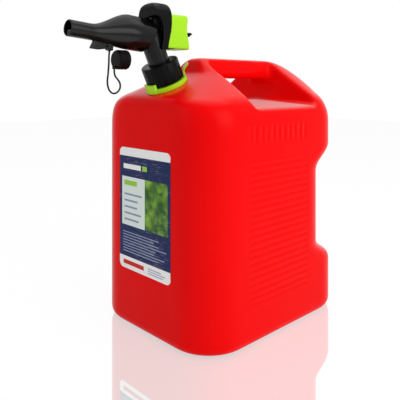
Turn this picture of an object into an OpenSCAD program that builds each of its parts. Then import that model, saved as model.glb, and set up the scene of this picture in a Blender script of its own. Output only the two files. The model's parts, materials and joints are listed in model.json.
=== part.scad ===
// Five gallon gas can with a spring-loaded pouring spout, millimetres.
// Origin on the floor under the middle of the tank, +Z up, front towards -Y.

/* [Tank] */
// Width of the tank across the sides
tank_w = 240; // [210:1:280]
// Length of the tank from front wall to rear wall
tank_l = 298; // [270:1:340]
// Height at which the side walls would meet the sloping roof
shoulder_h = 312; // [280:1:350]
// Height of the handle's top above the shoulder
handle_rise = 68; // [64:1:80]
// Thickness of the moulded wall
wall = 3; // [2:0.1:4]
// Radius of the tank's upright corners
corner_r = 56; // [40:1:62]
// Radius of the edge round the base
base_r = 10; // [6:1:20]
// Radius of the blend from side wall to roof
shoulder_r = 48; // [30:1:54]
// Half width of the roof's flat ridge
ridge_half = 16; // [12:1:22]
// Radius of the rounded rear end of the roof
rear_top_r = 58; // [40:1:64]

/* [Handle] */
// Width of the handle bar
bar_w = 39; // [32:1:46]
// Thickness of the handle bar from its top to its underside
bar_t = 30; // [24:1:34]
// Distance from the front wall to the hand hollow
hand_front = 95; // [92:1:115]
// Distance from the rear wall to the hand hollow
hand_setback = 58; // [54:1:70]
// Height of the hand hollow's floor above the shoulder, at the middle
hand_floor = 4; // [0:0.5:6]
// Fall of the hand hollow's floor from the middle to the sides
hand_fall = 8; // [4:0.5:10]
// Radius of the hand hollow's upright corners
hand_r = 9; // [6:1:14]

/* [Rear grip] */
// Depth of the grip groove across the rear wall
grip_depth = 34; // [24:0.5:42]
// Height of the lower edge of the groove
grip_low = 74; // [60:1:90]
// Height over which the lower step runs
grip_step = 28; // [16:1:36]
// Height of the upper edge of the groove
grip_high = 250; // [220:1:260]
// Height over which the upper slope runs
grip_slope = 37; // [28:1:60]

/* [Label] */
// Width of the front label
label_w = 112; // [60:1:120]
// Height of the front label
label_h = 171; // [80:1:180]
// Height of the label's lower edge
label_z = 81; // [60:1:100]
// Distance of the label's middle to the side of the tank's middle
label_shift = -4; // [-6:0.5:6]

/* [Neck] */
// Forward tilt of the filler neck in degrees
neck_tilt = 25; // [20:1:30]
// Distance from the front wall to the neck's middle
neck_setback = 38; // [36:1:42]
// Bore of the filler neck, as a radius
neck_bore_r = 17; // [15:0.5:19]
// Wall of the filler neck
neck_wall = 3.2; // [2.5:0.1:4]
// Height of the neck's rim above the roof
neck_h = 27; // [25:1:32]
// Height of the lock ring
lock_ring_h = 6; // [5:0.5:8]
// Thickness of the collar nut's top lip
collar_lip = 2.3; // [1.6:0.1:3]
// Wall of the collar nut
collar_wall = 4.2; // [3.4:0.1:5]
// Number of grip ribs round the collar nut
collar_ribs = 12; // [8:1:14]

/* [Spout] */
// Outer radius of the spout's neck tube
tube_r = 15; // [14:0.1:15.4]
// Wall of the spout's neck tube
tube_wall = 2.6; // [2:0.1:3.4]
// Upward pitch of the nozzle barrel in degrees
barrel_pitch = 5; // [2:0.5:7]
// Length of the barrel from the neck axis to its tip
barrel_l = 129.3; // [120:0.1:140]
// Length of the straight nozzle tip
tip_l = 32.8; // [26:0.2:36]
// Outer radius of the nozzle tip
tip_r = 10.5; // [9.8:0.1:10.8]
// Wall of the nozzle tip
tip_wall = 1.8; // [1.4:0.1:2.2]
// Height of the barrel's crown above its axis
crown_h = 31.6; // [29:0.1:34]
// Height of the valve's axis above the barrel's axis
valve_lift = 8; // [7:0.5:9]
// Travel of the trigger button
trigger_travel = 7; // [4:0.5:7.5]
// Radius of the valve stem
stem_r = 2; // [1.6:0.1:2.4]
// Height of the hood's top above the point where the barrel meets the neck tube
hood_rise = 55; // [53:0.5:60]
// Depth of the hood from front to rear
hood_l = 28; // [26:0.5:31]
// Wall of the hood
hood_wall = 2.1; // [1.8:0.1:2.4]
// Wall of the trigger button
button_wall = 1.7; // [1.4:0.1:2.2]

/* [Cap and tether] */
// Wall of the nozzle cap
cap_wall = 2.1; // [1.6:0.1:2.4]
// Length of the nozzle cap
cap_l = 16; // [14:0.5:18]
// Diameter of the tether
tether_d = 2.4; // [2:0.1:2.8]
// Radius of the tether's pin
tether_pin_r = 1.5; // [1.2:0.1:1.7]

/* [Hidden] */
$fn = 48;

// Clearances: between moving pieces, between fixed pieces, on a turning or sliding shaft, on a press fit
run_gap = 0.4;
fit_gap = 0.3;
shaft_gap = 0.05;
press_gap = 0.02;
// Overlap that makes a cut run clear through
cut = 1;

// Roof lines
tank_h = shoulder_h + handle_rise;
roof_slope = atan(handle_rise / (tank_w / 2 - ridge_half));
roof_turn = 90 - roof_slope;
side_arc_z = shoulder_h - shoulder_r * tan(roof_turn / 2);
front_rise = 9.5;
front_r = 20;
front_crease_z = shoulder_h + front_rise;
front_turn = 90 - neck_tilt;
front_arc_z = front_crease_z - front_r * tan(front_turn / 2);
pillar_foot = 75;
pillar_slope = 60;
pillar_foot_z = front_crease_z + pillar_foot * tan(neck_tilt);
ridge_r = 6;

// Hand hollow
hand_front_y = hand_front - tank_l / 2;
hand_l = tank_l - hand_front - hand_setback;

// Neck frame and what stacks up along the neck's axis
neck_y = neck_setback - tank_l / 2;
neck_z = front_crease_z + neck_setback * tan(neck_tilt);
neck_r = neck_bore_r + neck_wall;
neck_root = 14;
thread_rings = 3;
thread_pitch = 4.5;
thread_h = 0.7;
thread_w = 1.8;
thread_start = 3;
pad_w = 9.4;
pad_r = neck_r + pad_w;
ring_r = pad_r - fit_gap;
arrestor_t = 1.2;
arrestor_depth = 70;
gasket_t = 2;
gasket_w = 4.4;
flange_t = 2.2;
gasket_z = neck_h + arrestor_t;
flange_z = gasket_z + gasket_t;
collar_lip_z = flange_z + flange_t + fit_gap;
collar_top = collar_lip_z + collar_lip;
collar_foot_gap = 1;
collar_z = lock_ring_h + collar_foot_gap;
collar_h = collar_top - collar_z;
collar_bore = neck_r + 2 * (thread_h + fit_gap);
collar_r = collar_bore + collar_wall;
collar_lip_r = tube_r + run_gap;

// Barrel frame: the joint is where the barrel's axis meets the neck's axis
joint_rise = 29.9;
joint_up = collar_top + joint_rise;
joint_y = neck_y - joint_up * sin(neck_tilt);
joint_z = neck_z + joint_up * cos(neck_tilt);
tube_bore = tube_r - tube_wall;
tube_over = 8;
tube_top = joint_up + tube_over;
tip_bore = tip_r - tip_wall;
tip_z = barrel_l - tip_l;
shoulder_step = 0.4;
tip_shoulder = tip_r + shoulder_step;
mid_step = 0.9;
mid_bore = tip_bore + mid_step;
seat_step = 1.9;
seat_bore = tip_r + seat_step;
spigot_wall = 2.2;
spigot_step = 1;
spigot_r = seat_bore + spigot_step;
spigot_gap = 0.1;
spigot_end = 24;
spigot_bore = spigot_r - spigot_wall;
head_back = -11;

// Hood, as wide as the neck tube with the button's walls and its own on both sides
hood_half = tube_r + 2 * run_gap + button_wall + hood_wall;
hood_w = 2 * hood_half;
hood_z = joint_z + hood_rise;
hood_back = 4.5;
hood_rear = joint_y + tube_r + hood_back;
hood_front = hood_rear - hood_l;
hood_drop = 9;
hood_low = joint_z - hood_drop;
brow_gap = 3.4;
hood_brow = joint_z + crown_h + brow_gap;
cheek_back = 5;
cheek_front = joint_y + cheek_back;
cheek_step = 3;
cheek_rise = 14;
brow_curve = 18;
brow_reach = 11;
brow_steps = 4;
hood_nose_r = 9;
nose_lap = 0.6;
nose_y = hood_front + hood_nose_r - nose_lap;
nose_z = hood_z - hood_nose_r + nose_lap;
hood_sweep = 6;
sweep_h = 34;
screen_t = 1.6;
screen_z = joint_z + valve_lift + spigot_r + fit_gap;
post_r = 2.6;
post_y = joint_y - 1.3;
post_gap = 1.4;
post_top = hood_z - hood_wall - post_gap;
socket_r = post_r + fit_gap / 2;
socket_wall = 1.6;

// Barrel outline: rear heights above, below and beside the axis, and where each starts to taper
barrel_rear = 4.5;
belly_h = 15.2;
side_step = 0.5;
side_half = hood_half - side_step;
crown_taper = 42;
belly_taper = 40;
side_taper = 28;
nip_taper = 50;
crown_nip = 0.33;
body_l = tip_z - barrel_rear;
barrel_stations = 15;
barrel_sides = 28;
rear_cut_lean = 22;
rear_cut_at = 11;

// Valve, all along the valve's axis
valve_seat_z = 28;
valve_seat_t = 3;
valve_seat_hole = 7;
valve_seal_t = 1.3;
plug_r = seat_bore - 2.6;
plug_t = 3;
plug_z = valve_seat_z + valve_seat_t + valve_seal_t;
stem_nose = 2;
stem_front = plug_z + plug_t + stem_nose;
stem_room = 1.7;
seat_end = stem_front + trigger_travel + stem_room;
bore_lap = 4;
mid_start = seat_end - bore_lap;
gland_r = 8;
gland_end = -21;
gland_front = -4;
guide_wall = 1.9;
guide_r = stem_r + guide_wall;
guide_l = 10.5;
seal_ring_r = 0.9;
gland_stop = gland_end + guide_l + 2 * seal_ring_r;
spring_room = 4;
spring_r = stem_r + spring_room;
spring_wire = 1.2;
spring_turns = 7;
spring_spare = 4;
spring_l = (spring_turns + 1) * spring_wire + trigger_travel + spring_spare;
spring_cup_z = gland_end - spring_l;
spring_cup_t = 1.6;
spring_cup_rear = spring_cup_z - spring_cup_t;
stem_hold = 5;
stem_rear = spring_cup_rear - stem_hold;

// Trigger button: the floor and the side walls stay clear of the neck tube over the whole travel
button_half = tube_r + run_gap + button_wall;
button_reach = 54;
button_rear = joint_y + button_reach;
button_drop = 8.3;
button_low = joint_z - button_drop;
button_top_gap = 14.8;
button_corner = 5;
button_high = hood_z - button_top_gap;
button_lap = 2.5;
button_top_y = hood_rear - button_lap;
button_foot_y = hood_rear - hood_sweep - button_lap;
tube_rear = (joint_z - button_low) * tan(neck_tilt) + tube_r / cos(neck_tilt);
floor_gap = 1.6;
button_floor_y = joint_y + tube_rear + trigger_travel + floor_gap;
button_heel = 2;
heel_h = 10;
button_waist = 2.5;
waist_low = 24;
waist_high = 36;
button_brow = 2;
boss_wall = 3;
stem_boss_r = stem_r + boss_wall;

// Safety catch
catch_w = 4.4;
catch_h = 6;
catch_plate_w = 12;
catch_plate_h = 9;
catch_plate_t = 2.2;
catch_travel = 3;
catch_up = 23.3;
catch_z = button_low + catch_up;
catch_tail = 20;
catch_neck = 14;
catch_tip = 2;
catch_tip_rise = 1.2;
catch_plate_y = button_rear - button_waist - button_wall - 2 * run_gap - catch_plate_t;
catch_spring_r = 1.3;
catch_spring_wire = 0.5;
catch_spring_turns = 6;
catch_spring_l = 9;
catch_ledge_t = 1.6;
rail_t = 1.6;

// Tether eye, in the barrel's frame and then in the can's own
eye_wall = 1.7;
eye_r = tether_pin_r + eye_wall;
eye_w = 4;
eye_back = 28.6;
eye_s = tip_z - eye_back;
eye_drop = 4.2;
eye_u = -belly_at(eye_s) - eye_drop;
eye_y = joint_y - eye_s * cos(barrel_pitch) + eye_u * sin(barrel_pitch);
eye_z = joint_z + eye_s * sin(barrel_pitch) + eye_u * cos(barrel_pitch);
clevis_t = 2;
clevis_w = eye_w + 2 * fit_gap;
clevis_foot = 2.5;
clevis_l = 7;
fin_root = -tip_bore;
fin_w = 5;
hook_gap = 5.4;
hook_mid = 16.8;
hook_l = 28.4;
hook_lean = 4.7;
hook_nose = 1;
hook_drop = 3.5;

// Cap and tether: the tether's points in Y and Z are counted from the eye
tether_route = [[0, -3.4], [-0.5, -9], [-1, -21], [-2, -33], [-3, -42], [-2, -49], [1.5, -55], [7, -57.5],
    [12.5, -55.5], [16, -51.5], [16.7, -46.5], [15, -42], [11.5, -38], [8.5, -34], [7.5, -30], [7.5, -26]];
tether_steps = 3;
tether_sides = 8;
tether_end = tether_route[len(tether_route) - 1];
lug_l = 4;
lug_w = 4;
lug_h = 4;
lug_y = eye_y + tether_end[0];
lug_z = eye_z + tether_end[1];
cap_slack = 0.15;
cap_bore = tip_r + cap_slack;
cap_r = cap_bore + cap_wall;
cap_front = lug_y + lug_l / 2;
lug_lap = 0.4;
cap_z = lug_z + cap_r - lug_lap;

// A value that rises smoothly from 0 to 1
function ease(u) = u <= 0 ? 0 : u >= 1 ? 1 : u * u * (3 - 2 * u);

// How far the skin lies inside the upright side, front and rear planes at height z, for a skin inset by i
function foot_in(z, i) = base_r - sqrt(max(0, pow(base_r - i, 2) - pow(base_r - z, 2)));
function arc_in(z, i, r, arc_z, turn, slope) =
    let (end_z = arc_z + (r - i) * sin(turn))
    z < end_z ? r - sqrt(max(0, pow(r - i, 2) - pow(max(0, z - arc_z), 2)))
    : r - (r - i) * cos(turn) + (z - end_z) / tan(slope);
function ridge_in(z, i) =
    let (up = min(ridge_r, max(0, z + i - tank_h + ridge_r)))
    ridge_r - sqrt(pow(ridge_r, 2) - pow(up, 2));
function side_in(z, i) = z < base_r ? foot_in(z, i)
    : arc_in(z, i, shoulder_r, side_arc_z, roof_turn, roof_slope) + ridge_in(z, i);
function pad_in(z, i) = arc_in(z, i, front_r, front_arc_z, front_turn, neck_tilt);
function pillar_in(z, i) = pillar_foot + (z - pillar_foot_z) / tan(pillar_slope) + i / sin(pillar_slope);
function front_in(z, i) = z < base_r ? foot_in(z, i)
    : z < front_crease_z ? pad_in(z, i) : min(pad_in(z, i), pillar_in(z, i)) + ridge_in(z, i);
function grip_in(z) = grip_depth * ease((z - grip_low) / grip_step) * ease((grip_high - z) / grip_slope);
function rear_in(z, i) = z < base_r ? foot_in(z, i)
    : let (up = max(0, z - tank_h + rear_top_r))
    rear_top_r - sqrt(max(0, pow(rear_top_r - i, 2) - pow(up, 2))) + grip_in(z);

// One level of the tank: a rectangle with round corners
corner_steps = 8;
corner_share = 0.58;
function tank_ring(z, i) =
    let (half = tank_w / 2 - side_in(z, i))
    let (front = front_in(z, i) - tank_l / 2)
    let (rear = tank_l / 2 - rear_in(z, i))
    let (r = min(corner_r - i, corner_share * half))
    let (centres = [[half - r, front + r], [half - r, rear - r], [r - half, rear - r], [r - half, front + r]])
    [for (c = [0:3]) for (k = [0:corner_steps]) let (a = 90 * (c - 1) + 90 * k / corner_steps)
        [centres[c][0] + r * cos(a), centres[c][1] + r * sin(a), z]];

// Heights of the tank's levels for a skin inset by i
foot_steps = 5;
grip_steps = 6;
roof_steps = 14;
ridge_steps = 4;
function tank_levels(i) = concat(
    [for (k = [0:foot_steps]) i + (base_r - i) * (1 - cos(90 * k / foot_steps))],
    [for (k = [0:grip_steps]) grip_low + grip_step * k / grip_steps],
    [for (k = [0:grip_steps]) grip_high - grip_slope * (1 - k / grip_steps)],
    [for (k = [0:roof_steps]) side_arc_z + (tank_h - ridge_r - i - side_arc_z) * k / roof_steps],
    [for (k = [1:ridge_steps]) tank_h - ridge_r - i + ridge_r * sin(90 * k / ridge_steps)]);

// Barrel's heights and half width at a distance along its axis, down to a small shoulder behind the tip
function taper(s, start) = 1 - ease((s - start) / (tip_z - start));
function crown_at(s) = tip_shoulder + (crown_h - tip_shoulder) * taper(s, crown_taper);
function belly_at(s) = tip_shoulder + (belly_h - tip_shoulder) * taper(s, belly_taper);
function side_at(s) = tip_shoulder + (side_half - tip_shoulder) * taper(s, side_taper);

// One cross section of the barrel, narrower towards its crown
function barrel_ring(s) =
    let (mid = (crown_at(s) - belly_at(s)) / 2, rise = (crown_at(s) + belly_at(s)) / 2)
    let (nip = crown_nip * taper(s, nip_taper))
    [for (k = [0:barrel_sides - 1]) let (a = 360 * k / barrel_sides)
        [side_at(s) * cos(a) * (1 - nip * max(0, sin(a))), mid + rise * sin(a), s]];

// A smooth curve through a route's points
function route_at(p, j) = p[max(0, min(len(p) - 1, j))];
function curve_point(p, j, t) =
    let (a = route_at(p, j - 1), b = route_at(p, j), c = route_at(p, j + 1), d = route_at(p, j + 2))
    0.5 * (2 * b + (c - a) * t + (2 * a - 5 * b + 4 * c - d) * t * t + (3 * b - a - 3 * c + d) * t * t * t);
tether_curve = concat([for (j = [0:len(tether_route) - 2]) for (k = [0:tether_steps - 1])
    curve_point(tether_route, j, k / tether_steps)], [tether_end]);

// Skin over a stack of rings that all have the same number of points
module ring_stack(rings) {
    sides = len(rings[0]);
    last = len(rings) - 1;
    skin = [for (j = [0:last - 1]) for (k = [0:sides - 1])
        let (a = j * sides + k, b = j * sides + (k + 1) % sides)
        each [[a, a + sides, b + sides], [a, b + sides, b]]];
    foot = [for (k = [0:sides - 1]) k];
    head = [for (k = [sides - 1:-1:0]) last * sides + k];
    polyhedron([for (ring = rings) each ring], concat(skin, [foot, head]), convexity = 6);
}

module tank_skin(i) {
    ring_stack([for (z = tank_levels(i)) tank_ring(z, i)]);
}

// Flat rectangle with round corners, from its lower left corner
module round_plate(size, r) {
    translate([r, 0])
        square([size[0] - 2 * r, size[1]]);
    translate([0, r])
        square([size[0], size[1] - 2 * r]);
    for (x = [r, size[0] - r], y = [r, size[1] - r])
        translate([x, y])
            circle(r);
}

// Frames: along the neck's axis, along the barrel's axis and along the valve's axis
module on_neck() {
    translate([0, neck_y, neck_z])
        rotate([neck_tilt, 0, 0])
            children();
}

module on_barrel() {
    translate([0, joint_y, joint_z])
        rotate([90 - barrel_pitch, 0, 0])
            children();
}

module on_valve() {
    on_barrel()
        translate([0, valve_lift, 0])
            children();
}

// A side outline in Y and Z, drawn out sideways to a total width
module side_extrude(w) {
    translate([-w / 2, 0, 0])
        rotate([90, 0, 90])
            linear_extrude(w)
                children();
}

// The same for an outline along and above the barrel's axis
module barrel_extrude(w) {
    on_barrel()
        translate([w / 2, 0, 0])
            rotate([0, -90, 0])
                linear_extrude(w)
                    children();
}

// A cross outline in X and Z, drawn out from y0 to y1
module cross_extrude(y0, y1) {
    translate([0, y1, 0])
        rotate([90, 0, 0])
            linear_extrude(y1 - y0)
                children();
}

// Round bar and round tube along the Z axis
module rod(r, z0, z1) {
    translate([0, 0, z0])
        cylinder(r = r, h = z1 - z0);
}

module tube(r, bore, z0, z1) {
    difference() {
        rod(r, z0, z1);
        rod(bore, z0 - cut, z1 + cut);
    }
}

module o_ring(r, wire) {
    rotate_extrude()
        translate([r, 0])
            circle(wire, $fn = 24);
}

// Round wire wound about the Z axis from z0 to z1
coil_points = 8;
coil_sides = 6;
function coil_line(r, low, rise, turns) = [for (j = [0:turns * coil_points]) let (a = 360 * j / coil_points)
    [r * cos(a), r * sin(a), low + rise * j / (turns * coil_points)]];
function coil_gap(line, wire) = min([for (j = [0:len(line) - coil_points - 2], k = [-1:1])
    norm(line[j + coil_points + k] - line[j])]) - wire;
module coil(r, wire, z0, z1, turns) {
    rise = z1 - z0 - wire;
    line = coil_line(r, z0 + wire / 2, rise, turns);
    lean = atan(rise / (turns * 2 * PI * r));
    echo(least_gap_between_turns = coil_gap(line, wire));
    ring_stack([for (j = [0:len(line) - 1]) let (a = 360 * j / coil_points)
        [for (k = [0:coil_sides - 1]) let (b = -360 * k / coil_sides)
            let (out = wire / 2 * cos(b), up = wire / 2 * sin(b))
            line[j] + [out * cos(a) + up * sin(lean) * sin(a), out * sin(a) - up * sin(lean) * cos(a),
                up * cos(lean)]]]);
}

// Hand hollow under and beside the handle bar, grown by g on every side
module hand_hollow(g) {
    y0 = hand_front_y - g;
    l = hand_l + 2 * g;
    floor_mid = shoulder_h + hand_floor - g;
    floor_side = floor_mid - hand_fall;
    bar_low = tank_h - bar_t + g;
    bar_side = bar_w / 2 - g;
    reach = tank_w / 2 + 2 * hand_r;
    edge = reach + hand_r;
    difference() {
        union() {
            side_extrude(tank_w + 2 * cut)
                translate([y0, floor_side - hand_r])
                    round_plate([l, bar_low - floor_side + hand_r], hand_r);
            for (x = [bar_side, -reach])
                translate([x, y0, floor_side])
                    linear_extrude(tank_h - floor_side + cut)
                        round_plate([reach - bar_side, l], hand_r);
        }
        // Sloping floor
        cross_extrude(y0 - cut, y0 + l + cut)
            polygon([[-edge, floor_side - 2 * hand_r], [edge, floor_side - 2 * hand_r],
                [tank_w / 2, floor_side], [0, floor_mid], [-tank_w / 2, floor_side]]);
    }
}

module tank_shell() {
    color("red")
        difference() {
            union() {
                difference() {
                    tank_skin(0);
                    hand_hollow(0);
                    difference() {
                        tank_skin(wall);
                        hand_hollow(wall);
                    }
                }
                on_neck() {
                    rod(neck_r, -neck_root, neck_h);
                    rod(pad_r, -wall, 0);
                    for (k = [0:thread_rings - 1])
                        translate([0, 0, collar_z + thread_start + thread_pitch * k])
                            cylinder(r = neck_r + thread_h, h = thread_w);
                }
            }
            on_neck()
                rod(neck_bore_r, -neck_root - cut, neck_h + cut);
        }
}

label_t = 0.4;
label_r = 8;
module front_label() {
    color("midnightblue")
        translate([label_shift - label_w / 2, -tank_l / 2, label_z])
            rotate([90, 0, 0])
                linear_extrude(label_t)
                    round_plate([label_w, label_h], label_r);
}

// Lock ring: a stop block in front and a lever that leans out behind, each at its turn about the neck
stop_turn = 263;
stop_rise = 7;
stop_step = 1.2;
stop_w = 25;
lever_turn = 50;
lever_w = 13;
lever_foot = 12;
lever_bend = 16.5;
lever_top = 21;
lever_out = 8.5;
lever_t = 1.6;
module lock_ring() {
    tab_inner = collar_r + run_gap;
    stop_h = lock_ring_h + stop_rise;
    color("greenyellow")
        on_neck() {
            tube(ring_r, neck_r + fit_gap, 0, lock_ring_h);
            intersection() {
                tube(ring_r + stop_step, tab_inner, fit_gap, stop_h);
                rotate([0, 0, stop_turn])
                    translate([0, -stop_w / 2, 0])
                        cube([2 * ring_r, stop_w, stop_h]);
            }
            rotate([90, 0, lever_turn])
                linear_extrude(lever_w, center = true)
                    polygon([[tab_inner, fit_gap], [ring_r, fit_gap], [ring_r, lever_foot],
                        [ring_r + lever_out / 4, lever_bend], [ring_r + lever_out, lever_top],
                        [ring_r + lever_out - lever_t / 2, lever_top + lever_t],
                        [ring_r + lever_t / 2, lever_bend + lever_t], [tab_inner, lever_foot + lever_t]]);
        }
}

slot_count = 10;
slot_w = 2.2;
slot_margin = 4;
module flame_arrestor() {
    basket_r = neck_bore_r - fit_gap;
    low = gasket_z - arrestor_depth;
    color("dimgray")
        on_neck()
            difference() {
                union() {
                    rod(neck_r - fit_gap, neck_h, gasket_z);
                    rod(basket_r, low, gasket_z);
                }
                rod(basket_r - arrestor_t, low + arrestor_t, gasket_z + cut);
                for (k = [0:slot_count / 2 - 1])
                    rotate([0, 0, 360 * k / slot_count])
                        translate([-2 * basket_r, -slot_w / 2, low + slot_margin])
                            cube([4 * basket_r, slot_w, -neck_root - low - 2 * slot_margin]);
            }
}

module neck_gasket() {
    color("black")
        on_neck()
            tube(neck_r - fit_gap, neck_r - fit_gap - gasket_w, gasket_z, flange_z);
}

rib_t = 0.6;
rib_w = 8;
rib_inset = 0.8;
module collar_nut() {
    color("black")
        on_neck()
            difference() {
                union() {
                    rod(collar_r - rib_t, collar_z, collar_top);
                    intersection() {
                        rod(collar_r, collar_z + rib_inset, collar_top - rib_inset);
                        for (k = [0:collar_ribs - 1])
                            rotate([0, 0, 360 * k / collar_ribs])
                                translate([collar_r - 2 * rib_t, -rib_w / 2, collar_z])
                                    cube([4 * rib_t, rib_w, collar_h]);
                    }
                }
                rod(collar_bore, collar_z - cut, collar_lip_z);
                rod(collar_lip_r, collar_z, collar_top + cut);
            }
}

// Neck tube with a closed top, crossed by the head that carries the spigot and the stem's gland
module spout_elbow() {
    color("black")
        difference() {
            union() {
                difference() {
                    union() {
                        on_neck() {
                            rod(neck_r, flange_z, flange_z + flange_t);
                            rod(tube_r, flange_z, tube_top);
                        }
                        on_valve()
                            rod(spigot_r - spigot_gap, head_back, spigot_end);
                        translate([0, post_y, 0])
                            rod(post_r, joint_z, post_top);
                    }
                    on_neck()
                        rod(tube_bore, flange_z - cut, tube_top - tube_wall);
                    on_valve()
                        rod(spigot_bore, head_back + spigot_wall, spigot_end + cut);
                }
                on_valve()
                    rod(gland_r, gland_end, gland_front);
            }
            on_valve() {
                rod(guide_r + shaft_gap, gland_end - cut, gland_stop);
                rod(stem_r + run_gap, gland_end, gland_front + cut);
                tube(spigot_r + cut, spigot_r - 2 * seal_wire, seal_z - seal_wire, seal_z + seal_wire);
            }
        }
}

seal_z = 17;
seal_wire = 1;
module barrel_seal() {
    color("dimgray")
        on_valve()
            translate([0, 0, seal_z])
                o_ring(spigot_r - seal_wire, seal_wire - press_gap);
}

module nozzle_barrel() {
    color("black")
        difference() {
            union() {
                on_barrel() {
                    difference() {
                        ring_stack([for (k = [0:barrel_stations])
                            barrel_ring(barrel_rear + body_l * k / barrel_stations)]);
                        translate([-2 * hood_w, 0, rear_cut_at])
                            rotate([-rear_cut_lean, 0, 0])
                                translate([0, -2 * hood_w, -hood_w])
                                    cube([4 * hood_w, 4 * hood_w, hood_w]);
                    }
                    rod(tip_r, tip_z, barrel_l);
                }
                // Hook fin and clevis for the tether's eye
                barrel_extrude(fin_w)
                    translate([eye_s, 0])
                        polygon([[hook_gap, fin_root], [hook_gap, eye_u - hook_nose],
                            [hook_mid, eye_u - hook_drop], [hook_l - hook_nose, eye_u - hook_drop],
                            [hook_l, eye_u - hook_drop + hook_nose], [hook_l - hook_lean, fin_root]]);
                barrel_extrude(clevis_w + 2 * clevis_t)
                    translate([eye_s - clevis_l / 2, eye_u - clevis_foot])
                        square([clevis_l, fin_root + clevis_foot - eye_u]);
            }
            // Room for the eye and its pin
            barrel_extrude(clevis_w)
                translate([eye_s - eye_r - 2 * cut, eye_u - eye_r - cut])
                    square([2 * eye_r + 3 * cut, 2 * eye_r + cut + run_gap]);
            translate([0, eye_y, eye_z])
                rotate([0, 90, 0])
                    cylinder(r = tether_pin_r + press_gap, h = 4 * clevis_w, center = true, $fn = 32);
            // Room for the post, the neck tube and the elbow's head, and the bores in front of it
            translate([-post_r - fit_gap, post_y - post_r - fit_gap, joint_z])
                cube([2 * (post_r + fit_gap), hood_l, hood_rise]);
            on_neck()
                rod(tube_r + fit_gap, 0, tube_top + fit_gap);
            on_valve() {
                rod(spigot_r, -hood_w, spigot_end);
                rod(seat_bore, spigot_end - cut, seat_end);
            }
            on_barrel() {
                rod(mid_bore, mid_start, tip_z);
                rod(tip_bore, tip_z - cut, barrel_l + cut);
            }
        }
}

module valve_seat() {
    color("ivory")
        on_valve()
            tube(seat_bore - press_gap, valve_seat_hole, valve_seat_z, valve_seat_z + valve_seat_t);
}

vent_r = 3.2;
vent_wall = 0.9;
vent_start = 60;
vent_end = 2;
module vent_tube() {
    color("dimgray")
        on_barrel()
            translate([0, vent_r + shaft_gap - tip_bore, 0])
                tube(vent_r, vent_r - vent_wall, vent_start, barrel_l - vent_end);
}

module stem_guide() {
    color("ivory")
        on_valve()
            tube(guide_r, stem_r + shaft_gap, gland_end, gland_end + guide_l);
}

module stem_seal() {
    color("black")
        on_valve()
            translate([0, 0, gland_end + guide_l + seal_ring_r])
                o_ring(stem_r + shaft_gap + seal_ring_r, seal_ring_r - press_gap);
}

// Outline of the hood from the front, inset by i and lengthened below by more
module hood_arch(i, more) {
    translate([0, hood_z - hood_half])
        circle(hood_half - i);
    translate([i - hood_half, hood_low - more])
        square([hood_w - 2 * i, hood_z - hood_half - hood_low + more]);
}

// What is cut away above the hood's round nose, seen from the side, or kept inside it when inset by i
module nose_corner(i) {
    side_extrude(hood_w + 2 * cut)
        difference() {
            translate([hood_front - cut, nose_z])
                square([nose_y - hood_front + cut, hood_z - nose_z + cut]);
            translate([nose_y, nose_z])
                circle(hood_nose_r - i);
        }
}

hood_ribs = 15;
hood_rib_r = 0.6;
hood_rib_inset = 2;
hood_rib_step = 9;
hood_rib_start = -(hood_ribs - 1) / 2 * hood_rib_step;
module hood() {
    color("black") {
        difference() {
            cross_extrude(hood_front, hood_rear)
                hood_arch(0, 0);
            nose_corner(0);
            difference() {
                cross_extrude(hood_front + hood_wall, hood_rear - hood_wall)
                    hood_arch(hood_wall, cut);
                nose_corner(hood_wall);
                hood_screen();
            }
            // Opening at the rear for the button
            cross_extrude(hood_rear - 2 * hood_wall, hood_rear + cut)
                intersection() {
                    hood_arch(hood_wall, cut);
                    translate([-hood_w, hood_low - cut])
                        square([2 * hood_w, button_high + 2 * run_gap + cut - hood_low]);
                }
            // Opening at the front for the barrel and the elbow
            side_extrude(hood_w + 2 * cut)
                polygon(concat([[hood_front - cut, hood_low - cut],
                    [cheek_front - cheek_step, hood_low - cut], [cheek_front, hood_low + cheek_rise]],
                    [for (k = [0:brow_steps]) let (a = 90 * k / brow_steps)
                        [cheek_front - brow_reach * (1 - cos(a)), hood_brow - brow_curve * (1 - sin(a))]],
                    [[hood_front - cut, hood_brow]]));
            // Swept rear edge of the cheeks
            side_extrude(hood_w + 2 * cut)
                polygon([[hood_rear + cut, hood_low - cut], [hood_rear - hood_sweep, hood_low - cut],
                    [hood_rear - 0.6 * hood_sweep, hood_low + 0.35 * sweep_h],
                    [hood_rear - 0.15 * hood_sweep, hood_low + 0.75 * sweep_h],
                    [hood_rear, hood_low + sweep_h], [hood_rear + cut, hood_low + sweep_h]]);
        }
        // Grip ribs along the crown
        for (k = [0:hood_ribs - 1])
            translate([0, 0, hood_z - hood_half])
                rotate([0, hood_rib_start + hood_rib_step * k, 0])
                    translate([0, hood_front + hood_nose_r, hood_half - hood_rib_r / 2])
                        rotate([-90, 0, 0])
                            cylinder(r = hood_rib_r, h = hood_l - hood_nose_r - hood_rib_inset, $fn = 16);
        // Socket that drops over the elbow's post
        translate([0, post_y, 0])
            tube(socket_r + socket_wall, socket_r, hood_brow, hood_z - hood_wall + cut / 2);
    }
}

// Screen across the hood, above the elbow's head
module hood_screen() {
    translate([-hood_w, cheek_front, screen_z])
        cube([2 * hood_w, screen_t, hood_rise]);
}

module return_spring() {
    color("silver")
        on_valve()
            coil(spring_r, spring_wire, spring_cup_z, gland_end, spring_turns);
}

// Side outline of the button, inset by i
module button_side(i) {
    rear = button_rear - i;
    polygon([[button_foot_y, button_low + i], [rear, button_low + i],
        [rear + button_heel, button_low + i + button_heel], [rear + button_heel / 2, button_low + heel_h],
        [rear - button_waist, button_low + waist_low], [rear - button_waist, button_low + waist_high],
        [rear - button_brow / 4, button_high - button_brow], [rear - button_brow, button_high - i],
        [button_top_y, button_high - i]]);
}

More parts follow.
